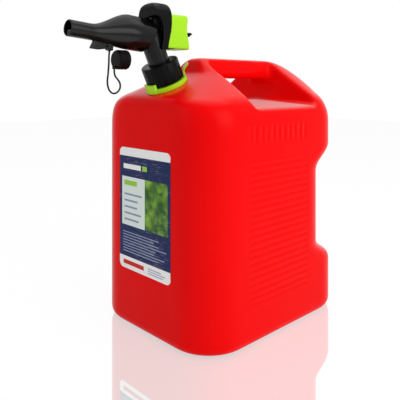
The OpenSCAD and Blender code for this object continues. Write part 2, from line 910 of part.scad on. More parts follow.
// Cross outline of the button, inset by i, with round upper corners
module button_cross(i) {
    more = 2 * button_corner;
    translate([i - button_half, button_low - more])
        round_plate([2 * (button_half - i), button_high - i - button_low + more], button_corner - i);
}

module button_block(i) {
    intersection() {
        side_extrude(2 * button_half + 2 * cut)
            button_side(i);
        cross_extrude(button_foot_y - cut, button_rear + button_heel + cut)
            button_cross(i);
    }
}

// Open-fronted shell with a boss for the stem and rails for the catch
module trigger_button() {
    inner_half = button_half - button_wall;
    slot_h = catch_h + catch_travel + 2 * run_gap;
    color("greenyellow")
        difference() {
            union() {
                difference() {
                    button_block(0);
                    button_block(button_wall);
                    cross_extrude(button_foot_y - 2 * cut, button_top_y + cut)
                        button_cross(button_wall);
                    translate([-inner_half, button_foot_y - cut, button_low - cut])
                        cube([2 * inner_half, button_floor_y - button_foot_y + cut, button_wall + 2 * cut]);
                }
                intersection() {
                    button_block(0);
                    union() {
                        on_valve()
                            rod(stem_boss_r, spring_cup_rear - hood_w, spring_cup_rear);
                        catch_rails();
                    }
                }
            }
            on_valve()
                rod(stem_r + press_gap, stem_rear - cut, spring_cup_z);
            translate([-catch_w / 2 - run_gap, catch_plate_y, catch_z - catch_h / 2 - run_gap])
                cube([catch_w + 2 * run_gap, catch_neck + catch_plate_t, slot_h]);
        }
}

// Rails that hold the catch's plate against the button's rear wall, and the ledges above and below it
module catch_rails() {
    rail_low = catch_z - catch_plate_h / 2;
    rail_h = catch_plate_h + catch_travel;
    inner = catch_plate_w / 2 + run_gap;
    outer = inner + rail_t;
    front = catch_plate_y - run_gap - rail_t;
    lip = rail_t + run_gap;
    for (x = [inner, -outer])
        translate([x, front, rail_low])
            cube([rail_t, button_rear - front, rail_h]);
    for (x = [outer - rail_t - lip, -outer + rail_t])
        translate([x, front, rail_low])
            cube([lip, rail_t, rail_h]);
    translate([-outer, front, catch_z + catch_plate_h / 2 + catch_spring_l])
        cube([2 * outer, button_rear - front, catch_ledge_t]);
    translate([-outer, catch_plate_y, rail_low - run_gap - rail_t])
        cube([2 * outer, button_rear - catch_plate_y, rail_t]);
}

module valve_stem() {
    color("silver")
        on_valve()
            rod(stem_r, stem_rear, stem_front);
}

module valve_plug() {
    color("ivory")
        on_valve()
            tube(plug_r, stem_r + press_gap, plug_z, plug_z + plug_t);
}

module valve_seal() {
    color("black")
        on_valve()
            tube(plug_r - fit_gap, stem_r + press_gap, valve_seat_z + valve_seat_t, plug_z);
}

module spring_cup() {
    color("ivory")
        on_valve()
            tube(spring_r + spring_wire, stem_r + press_gap, spring_cup_rear, spring_cup_z);
}

// Plate behind the button's rear wall, with a tapered tail that comes out through the slot
module safety_catch() {
    neck_y = button_rear + catch_neck;
    tail_y = button_rear + catch_tail;
    tip_mid = catch_z + catch_tip_rise;
    color("black") {
        translate([-catch_plate_w / 2, catch_plate_y, catch_z - catch_plate_h / 2])
            cube([catch_plate_w, catch_plate_t, catch_plate_h]);
        side_extrude(catch_w)
            polygon([[catch_plate_y, catch_z - catch_h / 2], [neck_y, catch_z - catch_h / 2],
                [tail_y - 2 * catch_tip, tip_mid - catch_tip], [tail_y, tip_mid],
                [tail_y - 2 * catch_tip, tip_mid + catch_tip], [neck_y, catch_z + catch_h / 2],
                [catch_plate_y, catch_z + catch_h / 2]]);
    }
}

module catch_spring() {
    color("silver")
        translate([0, catch_plate_y + catch_plate_t / 2, catch_z + catch_plate_h / 2])
            coil(catch_spring_r, catch_spring_wire, 0, catch_spring_l, catch_spring_turns);
}

module tether_pin() {
    color("silver")
        translate([0, eye_y, eye_z])
            rotate([0, 90, 0])
                cylinder(r = tether_pin_r, h = clevis_w + 2 * clevis_t, center = true, $fn = 32);
}

module tether_eye() {
    color("black")
        translate([0, eye_y, eye_z])
            rotate([0, 90, 0])
                difference() {
                    union() {
                        cylinder(r = eye_r, h = eye_w, center = true, $fn = 32);
                        translate([0, -tether_d / 2, -eye_w / 2])
                            cube([-tether_route[0][1], tether_d, eye_w]);
                    }
                    cylinder(r = tether_pin_r + shaft_gap, h = 2 * eye_w, center = true, $fn = 32);
                }
}

module cap_tether() {
    last = len(tether_curve) - 1;
    color("black")
        translate([0, eye_y, eye_z])
            ring_stack([for (j = [0:last])
                let (way = j == 0 ? [0, -1] : j == last ? [0, 1] : tether_curve[j + 1] - tether_curve[j - 1])
                let (across = [way[1], -way[0]] / norm(way))
                [for (k = [0:tether_sides - 1]) let (a = -360 * (k + 0.5) / tether_sides)
                    let (side = tether_d / 2 * sin(a))
                    [tether_d / 2 * cos(a), tether_curve[j][0] + side * across[0],
                        tether_curve[j][1] + side * across[1]]]]);
}

// Cup with a lug in front that the tether ends in
module nozzle_cap() {
    color("black") {
        translate([0, cap_front, cap_z])
            rotate([-90, 0, 0])
                difference() {
                    cylinder(r = cap_r, h = cap_l);
                    rod(cap_bore, cap_wall, cap_l + cut);
                }
        translate([-lug_w / 2, lug_y - lug_l / 2, lug_z])
            cube([lug_w, lug_l + cap_wall, lug_h]);
    }
}

tank_shell();
front_label();
lock_ring();
flame_arrestor();
neck_gasket();
collar_nut();
spout_elbow();
nozzle_barrel();
barrel_seal();
valve_seat();
vent_tube();
stem_guide();
stem_seal();
hood();
return_spring();
trigger_button();
valve_stem();
valve_plug();
valve_seal();
spring_cup();
safety_catch();
catch_spring();
tether_pin();
tether_eye();
cap_tether();
nozzle_cap();
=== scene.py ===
# %% [markdown]
# # A gas can with a push-button pouring spout
# The can was first measured and built as plain solids with real joints. This lesson dresses those solids:
# each piece that shows is modelled again with soft moulded edges, and every surface gets its finish.
# Loading the frame first matters, because all places below are taken from it and nothing is fitted by
# eye.

# %% Load the frame
import json
from math import asin, atan, cos, pi, radians, sin, sqrt, tan

import bpy
from mathutils import Matrix, Vector


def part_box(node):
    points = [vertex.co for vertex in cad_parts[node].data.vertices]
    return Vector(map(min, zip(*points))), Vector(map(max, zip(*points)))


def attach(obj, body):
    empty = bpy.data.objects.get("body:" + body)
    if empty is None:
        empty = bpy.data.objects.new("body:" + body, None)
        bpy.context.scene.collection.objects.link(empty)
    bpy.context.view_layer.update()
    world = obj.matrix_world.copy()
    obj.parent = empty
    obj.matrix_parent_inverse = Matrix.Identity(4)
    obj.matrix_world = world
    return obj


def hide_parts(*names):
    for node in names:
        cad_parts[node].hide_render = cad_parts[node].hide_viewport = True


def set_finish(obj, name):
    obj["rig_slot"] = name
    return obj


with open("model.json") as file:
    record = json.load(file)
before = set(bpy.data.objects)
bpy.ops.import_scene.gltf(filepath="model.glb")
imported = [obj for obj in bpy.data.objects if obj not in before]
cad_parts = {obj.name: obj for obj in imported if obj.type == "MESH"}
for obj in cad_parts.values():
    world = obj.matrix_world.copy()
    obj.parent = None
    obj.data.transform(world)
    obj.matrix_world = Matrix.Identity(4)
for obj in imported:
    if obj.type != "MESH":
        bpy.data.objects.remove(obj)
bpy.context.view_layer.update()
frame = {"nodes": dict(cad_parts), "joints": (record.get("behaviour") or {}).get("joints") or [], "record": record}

# %% [markdown]
# ## Places that everything hangs on
# The neck leans forward and the spout's barrel points a little up, so most small pieces are round about
# one of two slanted lines. Each line becomes a frame: X across the can, Z along the line. A piece is then
# drawn upright in millimetres at the origin, as on a bench, and laid into its frame at the end.

# %% Frames along the neck, the barrel and the cap
MM = 0.001
ACROSS = Vector((1, 0, 0))
joints = {joint["name"]: joint for joint in frame["joints"]}


def frame_along(origin, axis):
    """A frame in millimetres whose Z runs along the axis and whose X runs across the can."""
    up = axis.cross(ACROSS)
    turned = Matrix((ACROSS, up, axis)).transposed().to_4x4()
    return Matrix.Translation(origin) @ turned


neck_axis = Vector(joints["spout_swivel"]["axis"])
neck_point = Vector(joints["spout_swivel"]["pos_m"]) / MM
joint_up = 64.9
barrel_axis = Vector(joints["trigger_press"]["axis"])
joint_point = neck_point + joint_up * neck_axis
eye_point = Vector(joints["cap_swing"]["pos_m"]) / MM

upright = Matrix.Identity(4)
neck_frame = frame_along(neck_point, neck_axis)
barrel_frame = frame_along(joint_point, barrel_axis)

cap_low, cap_high = (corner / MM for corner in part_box("nozzle_cap"))
lug_l = 4
cap_point = Vector((0, cap_low.y + lug_l, (cap_low.z + cap_high.z) / 2))
cap_frame = frame_along(cap_point, Vector((0, 1, 0)))
print("Barrel meets neck at", [round(v, 1) for v in joint_point], "mm")

# %% [markdown]
# ## The camera
# The picture was taken level, from the front right corner, with the upright edges kept upright. A level
# camera with a downward shift gives the same: tilting it instead would make the can's sides lean
# together.

# %% Camera
camera_data = bpy.data.cameras.new("camera")
camera_data.lens = 47.29
camera_data.shift_y = -0.29
camera = bpy.data.objects.new("camera", camera_data)
camera.location = (0.5677, -0.5868, 0.3415)
camera.rotation_euler = (radians(90), 0, radians(46.47))
bpy.context.scene.collection.objects.link(camera)
bpy.context.scene.camera = camera
print("Camera stands", round(camera.location.length, 3), "m from the can's foot")

# %% [markdown]
# ## The cap's tether
# A thin moulded strap hangs from an eye under the barrel, loops and holds the cap up. A mesh tube would
# need rings turned at every bend; a Bezier curve with a round bevel turns them by itself and keeps its
# thickness.

# %% Tether curve
TETHER_ROUTE = [(0, -3.4), (-0.5, -9), (-1, -21), (-2, -33), (-3, -42), (-2, -49), (1.5, -55), (7, -57.5),
    (12.5, -55.5), (16, -51.5), (16.7, -46.5), (15, -42), (11.5, -38), (8.5, -34), (7.5, -30), (7.5, -26)]
TETHER_D = 2.4

tether_path = [(eye_point + Vector((0, y, z))) * MM for y, z in TETHER_ROUTE]
tether_data = bpy.data.curves.new("cap_strap", "CURVE")
tether_data.dimensions = "3D"
tether_data.bevel_depth = 1.0
tether_data.bevel_resolution = 5
tether_data.resolution_u = 10
tether_data.use_fill_caps = True
strand = tether_data.splines.new("BEZIER")
strand.bezier_points.add(len(tether_path) - 1)
for knot, place_at in zip(strand.bezier_points, tether_path):
    knot.co = place_at
    knot.radius = TETHER_D * MM / 2
    knot.handle_left_type = "AUTO"
    knot.handle_right_type = "AUTO"
cap_strap = bpy.data.objects.new("cap_strap", tether_data)
bpy.context.scene.collection.objects.link(cap_strap)
print("Tether runs through", len(tether_path), "points")

# %% [markdown]
# ## Hand tools
# A modeller works with a few moves: draw an outline, spin it, pull it out, cut one shape with another and
# round off what is sharp. Each move gets a short function here, so that the pieces below read as a list
# of moves. Everything is deselected first, since an operator acts on all that is selected.

# %% Selecting and editing
WELD = 0.001


def fresh():
    """Leave edit mode and select nothing."""
    if bpy.context.mode != "OBJECT":
        bpy.ops.object.mode_set(mode="OBJECT")
    bpy.ops.object.select_all(action="DESELECT")


def take(piece):
    """Make the piece the only selected and active one."""
    fresh()
    piece.select_set(True)
    bpy.context.view_layer.objects.active = piece


def pick(piece, kind, test):
    """Open the piece in edit mode with only those of its edges or faces selected that pass the test."""
    take(piece)
    mesh = piece.data
    for group in (mesh.vertices, mesh.edges, mesh.polygons):
        group.foreach_set("select", [False] * len(group))
    places = [vertex.co.copy() for vertex in mesh.vertices]
    bpy.context.tool_settings.mesh_select_mode = (False, kind == "edges", kind == "faces")
    chosen = mesh.edges if kind == "edges" else mesh.polygons
    for item in chosen:
        item.select = test([places[index] for index in item.vertices], item)
    bpy.ops.object.mode_set(mode="EDIT")


def close_up():
    """Weld the drawn points, turn the faces outwards and leave edit mode."""
    bpy.ops.mesh.select_all(action="SELECT")
    bpy.ops.mesh.remove_doubles(threshold=WELD)
    bpy.ops.mesh.normals_make_consistent(inside=False)
    bpy.ops.object.mode_set(mode="OBJECT")


print("Selecting tools ready")

# %% Drawing, spinning and pulling out
LATHE_STEPS = 128


def draw_outline(name, points):
    """Merge a plane to one point and draw the outline out of it, point by point."""
    fresh()
    bpy.context.tool_settings.mesh_select_mode = (True, False, False)
    bpy.ops.mesh.primitive_plane_add(size=1)
    piece = bpy.context.object
    piece.name = name
    bpy.ops.object.mode_set(mode="EDIT")
    bpy.ops.mesh.select_all(action="SELECT")
    bpy.ops.mesh.merge(type="CENTER")
    bpy.ops.transform.translate(value=points[0])
    for here, there in zip(points, points[1:]):
        step = [b - a for a, b in zip(here, there)]
        bpy.ops.mesh.extrude_vertices_move(TRANSFORM_OT_translate={"value": step})
    return piece


def lathe(name, section, steps=LATHE_STEPS):
    """Spin a half section of (radius, height) points once round the Z axis."""
    piece = draw_outline(name, [(r, 0, z) for r, z in section])
    bpy.ops.mesh.select_all(action="SELECT")
    bpy.ops.mesh.spin(steps=steps, angle=2 * pi, center=(0, 0, 0), axis=(0, 0, 1))
    close_up()
    return piece


def pull_out(name, points, along):
    """Fill a drawn outline and extrude it."""
    piece = draw_outline(name, points)
    bpy.ops.mesh.select_all(action="SELECT")
    bpy.ops.mesh.edge_face_add()
    bpy.ops.mesh.extrude_region_move(TRANSFORM_OT_translate={"value": along})
    close_up()
    return piece


def side_slab(name, outline, width):
    """A side outline of (Y, Z) points as a slab of that width, centred on the can's middle plane."""
    return pull_out(name, [(-width / 2, y, z) for y, z in outline], (width, 0, 0))


def block(name, low, high):
    """A cube stretched between two corners."""
    fresh()
    bpy.ops.mesh.primitive_cube_add(size=1)
    piece = bpy.context.object
    piece.name = name
    bpy.ops.object.mode_set(mode="EDIT")
    bpy.ops.transform.resize(value=[b - a for a, b in zip(low, high)], center_override=(0, 0, 0))
    bpy.ops.transform.translate(value=[(a + b) / 2 for a, b in zip(low, high)])
    bpy.ops.object.mode_set(mode="OBJECT")
    return piece


print("Drawing tools ready")

# %% Modifiers, cuts and placing


def apply_modifier(piece, kind, **settings):
    """Add a modifier with these settings and apply it."""
    take(piece)
    modifier = piece.modifiers.new(kind.lower(), kind)
    for name, value in settings.items():
        setattr(modifier, name, value)
    bpy.ops.object.modifier_apply(modifier=modifier.name)


def combine(piece, other, operation):
    """Cut the other shape away, or add it, and throw the other away."""
    apply_modifier(piece, "BOOLEAN", object=other, operation=operation, solver="MANIFOLD")
    bpy.data.objects.remove(other)


def move(piece, matrix):
    """Move the piece by a matrix and put the move into its mesh."""
    take(piece)
    piece.matrix_world = matrix @ piece.matrix_world
    bpy.ops.object.transform_apply(location=True, rotation=True, scale=True)
    return piece


def soften(piece, voxel, rounds):
    """Recast the piece in small even faces and smooth them, which rounds every edge as moulding does."""
    apply_modifier(piece, "REMESH", mode="VOXEL", voxel_size=voxel)
    apply_modifier(piece, "SMOOTH", factor=0.5, iterations=rounds)
    take(piece)
    bpy.ops.object.shade_smooth()


def round_edges(piece, width, steps=3, angle=40):
    """Bevel the sharp edges and shade the rest smooth."""
    apply_modifier(piece, "BEVEL", width=width, segments=steps, limit_method="ANGLE",
        angle_limit=radians(angle), use_clamp_overlap=True)
    take(piece)
    bpy.ops.object.shade_smooth_by_angle(angle=radians(angle))


def fit(piece, place, body, node, slot):
    """Lay a finished piece into its frame, in metres, and let it stand for its solid."""
    move(piece, Matrix.Scale(MM, 4) @ place)
    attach(piece, body)
    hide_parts(node)
    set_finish(piece, slot)
    piece.data.calc_loop_triangles()
    print(piece.name, "has", len(piece.data.loop_triangles), "triangles and rides on", body)


print("Finishing tools ready")

# %% [markdown]
# ## The tank
# The tank is blow-moulded in one go, so it has no sharp edge anywhere. Its outline changes with height:
# the rear wall steps in for the lower hand, the roof slopes up to the handle and the front leans for the
# neck. A stack of round-cornered plates, one at each height, follows all of that, and bridging their rims
# gives the skin. Sculpting would lose the measures, and a bevelled box would not follow the slopes.

# %% Heights and insets of the tank
tank_low, tank_high = (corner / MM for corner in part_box("tank_shell"))
TANK_HALF = tank_high.x
TANK_FRONT = tank_low.y
TANK_REAR = tank_high.y
TANK_H = tank_high.z
SHOULDER_H = 312
BASE_R, CORNER_R, SHOULDER_R, RIDGE_R, REAR_TOP_R, FRONT_R = 10, 56, 48, 6, 58, 20
RIDGE_HALF = 16
NECK_TILT = asin(-neck_axis.y)
FRONT_CREASE_Z = SHOULDER_H + 9.5
PILLAR_FOOT = 75
PILLAR_SLOPE = radians(60)
GRIP_DEPTH, GRIP_LOW, GRIP_STEP, GRIP_HIGH, GRIP_SLOPE = 34, 74, 28, 250, 37
CORNER_SHARE = 0.58

roof_slope = atan((TANK_H - SHOULDER_H) / (TANK_HALF - RIDGE_HALF))
side_arc_z = SHOULDER_H - SHOULDER_R * tan((pi / 2 - roof_slope) / 2)
front_arc_z = FRONT_CREASE_Z - FRONT_R * tan((pi / 2 - NECK_TILT) / 2)
pillar_foot_z = FRONT_CREASE_Z + PILLAR_FOOT * tan(NECK_TILT)


def ease(u):
    """A value that rises smoothly from 0 to 1."""
    u = min(max(u, 0), 1)
    return u * u * (3 - 2 * u)


def arc_in(z, r, start, slope):
    """How far an upright wall has turned in at height z, round an arc and then up a slope."""
    turn = pi / 2 - slope
    end = start + r * sin(turn)
    if z < end:
        return r - sqrt(r * r - max(0, z - start) ** 2)
    return r - r * cos(turn) + (z - end) / tan(slope)


def foot_in(z):
    """How far the rounded edge of the base turns in."""
    return BASE_R - sqrt(BASE_R**2 - max(0, BASE_R - z) ** 2)


def ridge_in(z):
    """How far the handle's top edge turns in."""
    up = min(RIDGE_R, max(0, z - TANK_H + RIDGE_R))
    return RIDGE_R - sqrt(RIDGE_R**2 - up * up)


def side_in(z):
    return foot_in(z) + arc_in(z, SHOULDER_R, side_arc_z, roof_slope) + ridge_in(z)


def front_in(z):
    pad = arc_in(z, FRONT_R, front_arc_z, NECK_TILT)
    pillar = PILLAR_FOOT + (z - pillar_foot_z) / tan(PILLAR_SLOPE)
    lean = pad if z < FRONT_CREASE_Z else min(pad, pillar)
    return foot_in(z) + lean + ridge_in(z)


def rear_in(z):
    up = max(0, z - TANK_H + REAR_TOP_R)
    grip = GRIP_DEPTH * ease((z - GRIP_LOW) / GRIP_STEP) * ease((GRIP_HIGH - z) / GRIP_SLOPE)
    return foot_in(z) + REAR_TOP_R - sqrt(REAR_TOP_R**2 - up * up) + grip


print("Roof slopes at", round(roof_slope * 180 / pi, 1), "degrees")

# %% Stack of plates, bridged to a skin
CORNER_STEPS = 14


def spread(low, high, count):
    """Even heights from low up to, and without, high."""
    return [low + (high - low) * k / count for k in range(count)]


foot_levels = [BASE_R * (1 - cos(pi / 2 * k / 8)) for k in range(9)]
step_top = GRIP_LOW + GRIP_STEP
wall_levels = spread(GRIP_LOW, step_top, 10) + spread(step_top, GRIP_HIGH - GRIP_SLOPE, 6)
grip_levels = spread(GRIP_HIGH - GRIP_SLOPE, GRIP_HIGH, 12) + spread(GRIP_HIGH, side_arc_z, 3)
roof_levels = spread(side_arc_z, TANK_H - RIDGE_R, 30)
ridge_levels = [TANK_H - RIDGE_R + RIDGE_R * sin(pi / 2 * k / 6) for k in range(7)]
levels = foot_levels + wall_levels + grip_levels + roof_levels + ridge_levels


def add_plate(z):
    """Add the rim of the round-cornered plate at height z to the mesh that is being edited."""
    half = TANK_HALF - side_in(z)
    front = TANK_FRONT + front_in(z)
    rear = TANK_REAR - rear_in(z)
    middle = (0, (front + rear) / 2, z)
    bpy.ops.mesh.primitive_plane_add(size=1, location=middle)
    bpy.ops.transform.resize(value=(2 * half, rear - front, 1), center_override=middle)
    corner = min(CORNER_R, CORNER_SHARE * half)
    bpy.ops.mesh.bevel(offset=corner, segments=CORNER_STEPS, affect="VERTICES")
    bpy.ops.mesh.delete(type="ONLY_FACE")


fresh()
bpy.context.tool_settings.mesh_select_mode = (True, False, False)
bpy.ops.mesh.primitive_plane_add(size=1)
tank = bpy.context.object
tank.name = "tank"
bpy.ops.object.mode_set(mode="EDIT")
bpy.ops.mesh.delete(type="VERT")
for level in levels:
    add_plate(level)
bpy.ops.mesh.select_all(action="SELECT")
bpy.ops.mesh.bridge_edge_loops()
bpy.ops.mesh.select_all(action="SELECT")
bpy.ops.mesh.fill_holes(sides=0)
close_up()
print(len(levels), "plates bridged into", len(tank.data.polygons), "faces")

# %% [markdown]
# The hand hollow goes right through under the handle bar and is open to the sky beside it. One cutter
# does both: the cross outline of the empty space, drawn with the bar as a notch in it and pulled out
# along the can. Its edges are bevelled before the cut, so the corners of the hollow come out round.

# %% Hand hollow and neck opening
BAR_HALF, BAR_T = 19.5, 30
HAND_FRONT, HAND_REAR = TANK_FRONT + 95, TANK_REAR - 58
HAND_FLOOR, HAND_FALL = SHOULDER_H + 4, 8
HAND_R = 8
NECK_BORE_R = 17
CLEAR = 30

bar_low = TANK_H - BAR_T
edge = TANK_HALF + CLEAR
edge_floor = HAND_FLOOR - HAND_FALL * edge / TANK_HALF
sky = TANK_H + CLEAR
hollow_outline = [(-edge, edge_floor), (0, HAND_FLOOR), (edge, edge_floor), (edge, sky), (BAR_HALF, sky),
    (BAR_HALF, bar_low), (-BAR_HALF, bar_low), (-BAR_HALF, sky), (-edge, sky)]
hollow = pull_out("hollow", [(x, HAND_FRONT, z) for x, z in hollow_outline], (0, HAND_REAR - HAND_FRONT, 0))
apply_modifier(hollow, "BEVEL", width=HAND_R, segments=6, limit_method="ANGLE", angle_limit=radians(40))
combine(tank, hollow, "DIFFERENCE")
opening = lathe("opening", [(0, -60), (NECK_BORE_R, -60), (NECK_BORE_R, CLEAR), (0, CLEAR)])
combine(tank, move(opening, neck_frame), "DIFFERENCE")
print("Hollow is", round(HAND_REAR - HAND_FRONT), "mm long and", round(bar_low - HAND_FLOOR), "mm high")

# %% [markdown]
# Blow moulding rounds what is left. Recasting the skin in 3 mm voxels and smoothing it gives soft edges
# everywhere at once. The side walls carry pressed lines and a row of flutes. They are too fine for the
# big faces, so only that patch is subdivided, and its points are pushed in by a smooth wave.

# %% Soft skin with pressed side panels
TANK_VOXEL = 3
LINES_LOW, LINES_HIGH, LINE_PITCH, LINE_DEPTH = 52, 243, 9, 0.7
FLUTES_LOW, FLUTES_HIGH, FLUTE_PITCH, FLUTE_DEPTH = 262, 288, 12, 0.8
PANEL_FRONT, PANEL_REAR = -74, 58
PANEL_FADE = 4
WALL_FLAT = 1.2

soften(tank, TANK_VOXEL, 8)


def window(v, low, high):
    """1 between low and high, falling smoothly to 0 outside."""
    return ease((v - low) / PANEL_FADE) * ease((high - v) / PANEL_FADE)


def press_depth(y, z):
    """How deep the pressed pattern lies in the side wall at a place."""
    along = window(y, PANEL_FRONT, PANEL_REAR)
    line = (0.5 + 0.5 * cos(2 * pi * z / LINE_PITCH)) ** 2
    flute = (0.5 + 0.5 * cos(2 * pi * y / FLUTE_PITCH)) ** 2
    lines = window(z, LINES_LOW, LINES_HIGH) * line * LINE_DEPTH
    return along * (lines + window(z, FLUTES_LOW, FLUTES_HIGH) * flute * FLUTE_DEPTH)


def on_panel(places, face):
    x, y, z = face.center
    inside = PANEL_FRONT < y < PANEL_REAR and LINES_LOW < z < FLUTES_HIGH
    return abs(x) > TANK_HALF - WALL_FLAT and inside


pick(tank, "faces", on_panel)
bpy.ops.mesh.subdivide(number_cuts=1)
fresh()
for vertex in tank.data.vertices:
    x, y, z = vertex.co
    if abs(x) > TANK_HALF - WALL_FLAT:
        vertex.co.x -= press_depth(y, z) * (1 if x > 0 else -1)
take(tank)
bpy.ops.object.shade_smooth()
fit(tank, upright, "tank", "tank_shell", "tank_red")

# %% [markdown]
# ## The filler neck
# With the spout lifted off, the neck shows its screw thread. A section spun round the neck's line makes
# the tube and three thread rings in one go.

# %% Neck with thread
NECK_R, NECK_H = 20.2, 27
THREAD_H, THREAD_W, THREAD_PITCH, THREAD_START = 0.7, 1.8, 4.5, 10

neck_section = [(NECK_BORE_R, -8), (NECK_R, -8)]
for turn in range(3):
    low = THREAD_START + THREAD_PITCH * turn
    neck_section += [(NECK_R, low - 0.4), (NECK_R + THREAD_H, low + 0.4),
        (NECK_R + THREAD_H, low + THREAD_W - 0.4), (NECK_R, low + THREAD_W + 0.4)]
neck_section += [(NECK_R, NECK_H), (NECK_BORE_R, NECK_H), (NECK_BORE_R, -8)]
neck = lathe("filler_neck", neck_section)
round_edges(neck, 0.25)
fit(neck, neck_frame, "tank", "tank_shell", "tank_red")

# %% [markdown]
# ## The lock ring
# A lime ring under the nut carries a stop block in front and a thumb lever behind, which leans out at its
# top. Spinning sections makes the ring and, cut down to a slice, the curved block; the lever is a bent
# outline pulled out to its width. They are joined and recast, so the lever grows out of the ring without
# a seam.

# %% Lock ring with a stop and a lever
RING_BORE, RING_R, RING_H = 20.5, 29.3, 6
TAB_INNER = 26.8
STOP_TURN, STOP_W, STOP_TOP, STOP_R = radians(263), 25, 13, 30.5
LEVER_TURN, LEVER_W, LEVER_T = radians(50), 13, 1.6
LEVER_FOOT, LEVER_BEND, LEVER_TOP, LEVER_OUT = 12, 16.5, 21, 8.5


def rectangle(inner, outer, low, high):
    """A closed section of a ring."""
    return [(inner, low), (outer, low), (outer, high), (inner, high), (inner, low)]


lock_ring = lathe("lock_ring_piece", rectangle(RING_BORE, RING_R, 0, RING_H))
stop = lathe("stop", rectangle(TAB_INNER, STOP_R, 0.3, STOP_TOP))
slice_block = block("slice_block", (0, -STOP_W / 2, 0), (2 * RING_R, STOP_W / 2, STOP_TOP + 1))
combine(stop, move(slice_block, Matrix.Rotation(STOP_TURN, 4, "Z")), "INTERSECT")
combine(lock_ring, stop, "UNION")
lever_outline = [(TAB_INNER, 0.3), (RING_R, 0.3), (RING_R, LEVER_FOOT), (RING_R + 0.6, LEVER_FOOT + 2.6),
    (RING_R + LEVER_OUT / 4, LEVER_BEND), (RING_R + LEVER_OUT, LEVER_TOP),
    (RING_R + LEVER_OUT - LEVER_T / 2, LEVER_TOP + LEVER_T), (RING_R + LEVER_T / 2, LEVER_BEND + LEVER_T),
    (TAB_INNER, LEVER_FOOT + LEVER_T)]
lever = side_slab("lever", lever_outline, LEVER_W)
combine(lock_ring, move(lever, Matrix.Rotation(LEVER_TURN - pi / 2, 4, "Z")), "UNION")
soften(lock_ring, 0.4, 3)
fit(lock_ring, neck_frame, "tank", "lock_ring", "lime_plastic")

# %% [markdown]
# ## The collar nut
# The nut is a cup with a hole, with broad ribs for the fingers. After the spin, seven of every twelve
# faces round its wall are extruded outwards, so that the ribs are one with the wall, and a bevel softens
# the edges.

# %% Collar nut with ribs
COLLAR_BORE, COLLAR_R, COLLAR_LOW, COLLAR_TOP = 22.2, 26.4, 7, 35
LIP_R, LIP_LOW = 15.4, 32.7
RIB_T, RIB_INSET = 0.6, 0.9
COLLAR_STEPS, RIB_SHARE, RIB_FACES = 144, 12, 7
wall_r = COLLAR_R - RIB_T

collar_section = [(COLLAR_BORE, COLLAR_LOW), (wall_r, COLLAR_LOW), (wall_r, COLLAR_LOW + RIB_INSET),
    (wall_r, COLLAR_TOP - RIB_INSET), (wall_r, COLLAR_TOP), (LIP_R, COLLAR_TOP), (LIP_R, LIP_LOW),
    (COLLAR_BORE, LIP_LOW), (COLLAR_BORE, COLLAR_LOW)]
collar = lathe("collar_nut_piece", collar_section, COLLAR_STEPS)


def on_rib(places, face):
    spot = Vector((face.center.x, face.center.y))
    step = int(Vector((1, 0)).angle_signed(spot) / (2 * pi) * COLLAR_STEPS + COLLAR_STEPS)
    outer = spot.length > wall_r - 0.2 and abs(face.normal.z) < 0.1
    tall = COLLAR_LOW + RIB_INSET < face.center.z < COLLAR_TOP - RIB_INSET
    return outer and tall and step % RIB_SHARE < RIB_FACES


pick(collar, "faces", on_rib)
bpy.ops.mesh.extrude_region_shrink_fatten(TRANSFORM_OT_shrink_fatten={"value": RIB_T})
close_up()
round_edges(collar, 0.35)
fit(collar, neck_frame, "collar", "collar_nut", "black_plastic")

# %% [markdown]
# ## The elbow
# The neck tube, its flange and the head inside the barrel are plain round shapes that the solid already
# has. A merged copy of the solid, recast in half-millimetre voxels, keeps them and gains moulded edges.

# %% Elbow from a copy of its solid


def solid_copy(name, node):
    """A welded copy of a solid, in millimetres."""
    piece = bpy.data.objects.new(name, frame["nodes"][node].data.copy())
    bpy.context.scene.collection.objects.link(piece)
    move(piece, Matrix.Scale(1 / MM, 4))
    bpy.ops.object.mode_set(mode="EDIT")
    close_up()
    return piece


def lift_off(piece, place, floor):
    """Lift every point that is under a floor, in the frame of a place, up to that floor."""
    down = place.inverted()
    for vertex in piece.data.vertices:
        spot = down @ vertex.co
        spot.z = max(spot.z, floor)
        vertex.co = place @ spot


SEAT_GAP = 0.05
gasket_mesh = frame["nodes"]["neck_gasket"].data
gasket_points = [neck_frame.inverted() @ (vertex.co / MM) for vertex in gasket_mesh.vertices]
elbow = solid_copy("elbow", "spout_elbow")
soften(elbow, 0.6, 5)
lift_off(elbow, neck_frame, max(spot.z for spot in gasket_points) + SEAT_GAP)
fit(elbow, upright, "spout", "spout_elbow", "black_plastic")

# %% [markdown]
# ## The nozzle barrel
# The barrel runs from a tall rear end to a plain round tip. Circles along its line, stretched to each
# station's height and width and then bridged, give a smooth skin. Pinching the upper half of each circle
# makes the crown narrower than the belly, as on the real spout.

# %% Barrel skin
BARREL_L, TIP_L, TIP_R, TIP_BORE = 129.3, 32.8, 10.5, 8.7
CROWN_H, BELLY_H, SIDE_HALF, CROWN_NIP = 31.6, 15.2, 19.1, 0.33
BARREL_REAR, TIP_BLEND = 4.5, 2
CROWN_TAPER, BELLY_TAPER, SIDE_TAPER, NIP_TAPER = 42, 40, 28, 50
BARREL_SIDES, BARREL_STATIONS = 72, 26
LIP_EDGE = 0.7
blend_end = BARREL_L - TIP_L + TIP_BLEND


def taper(s, start):
    return 1 - ease((s - start) / (blend_end - start))


def swell(s, full, start):
    """A height or half width of the barrel at a distance along it."""
    return TIP_R + (full - TIP_R) * taper(s, start)


def station(s):
    """Height of the section's middle, half height, half width and pinch at a distance along the barrel."""
    crown, belly = swell(s, CROWN_H, CROWN_TAPER), swell(s, BELLY_H, BELLY_TAPER)
    pinch = CROWN_NIP * taper(s, NIP_TAPER)
    return (crown - belly) / 2, (crown + belly) / 2, swell(s, SIDE_HALF, SIDE_TAPER), pinch


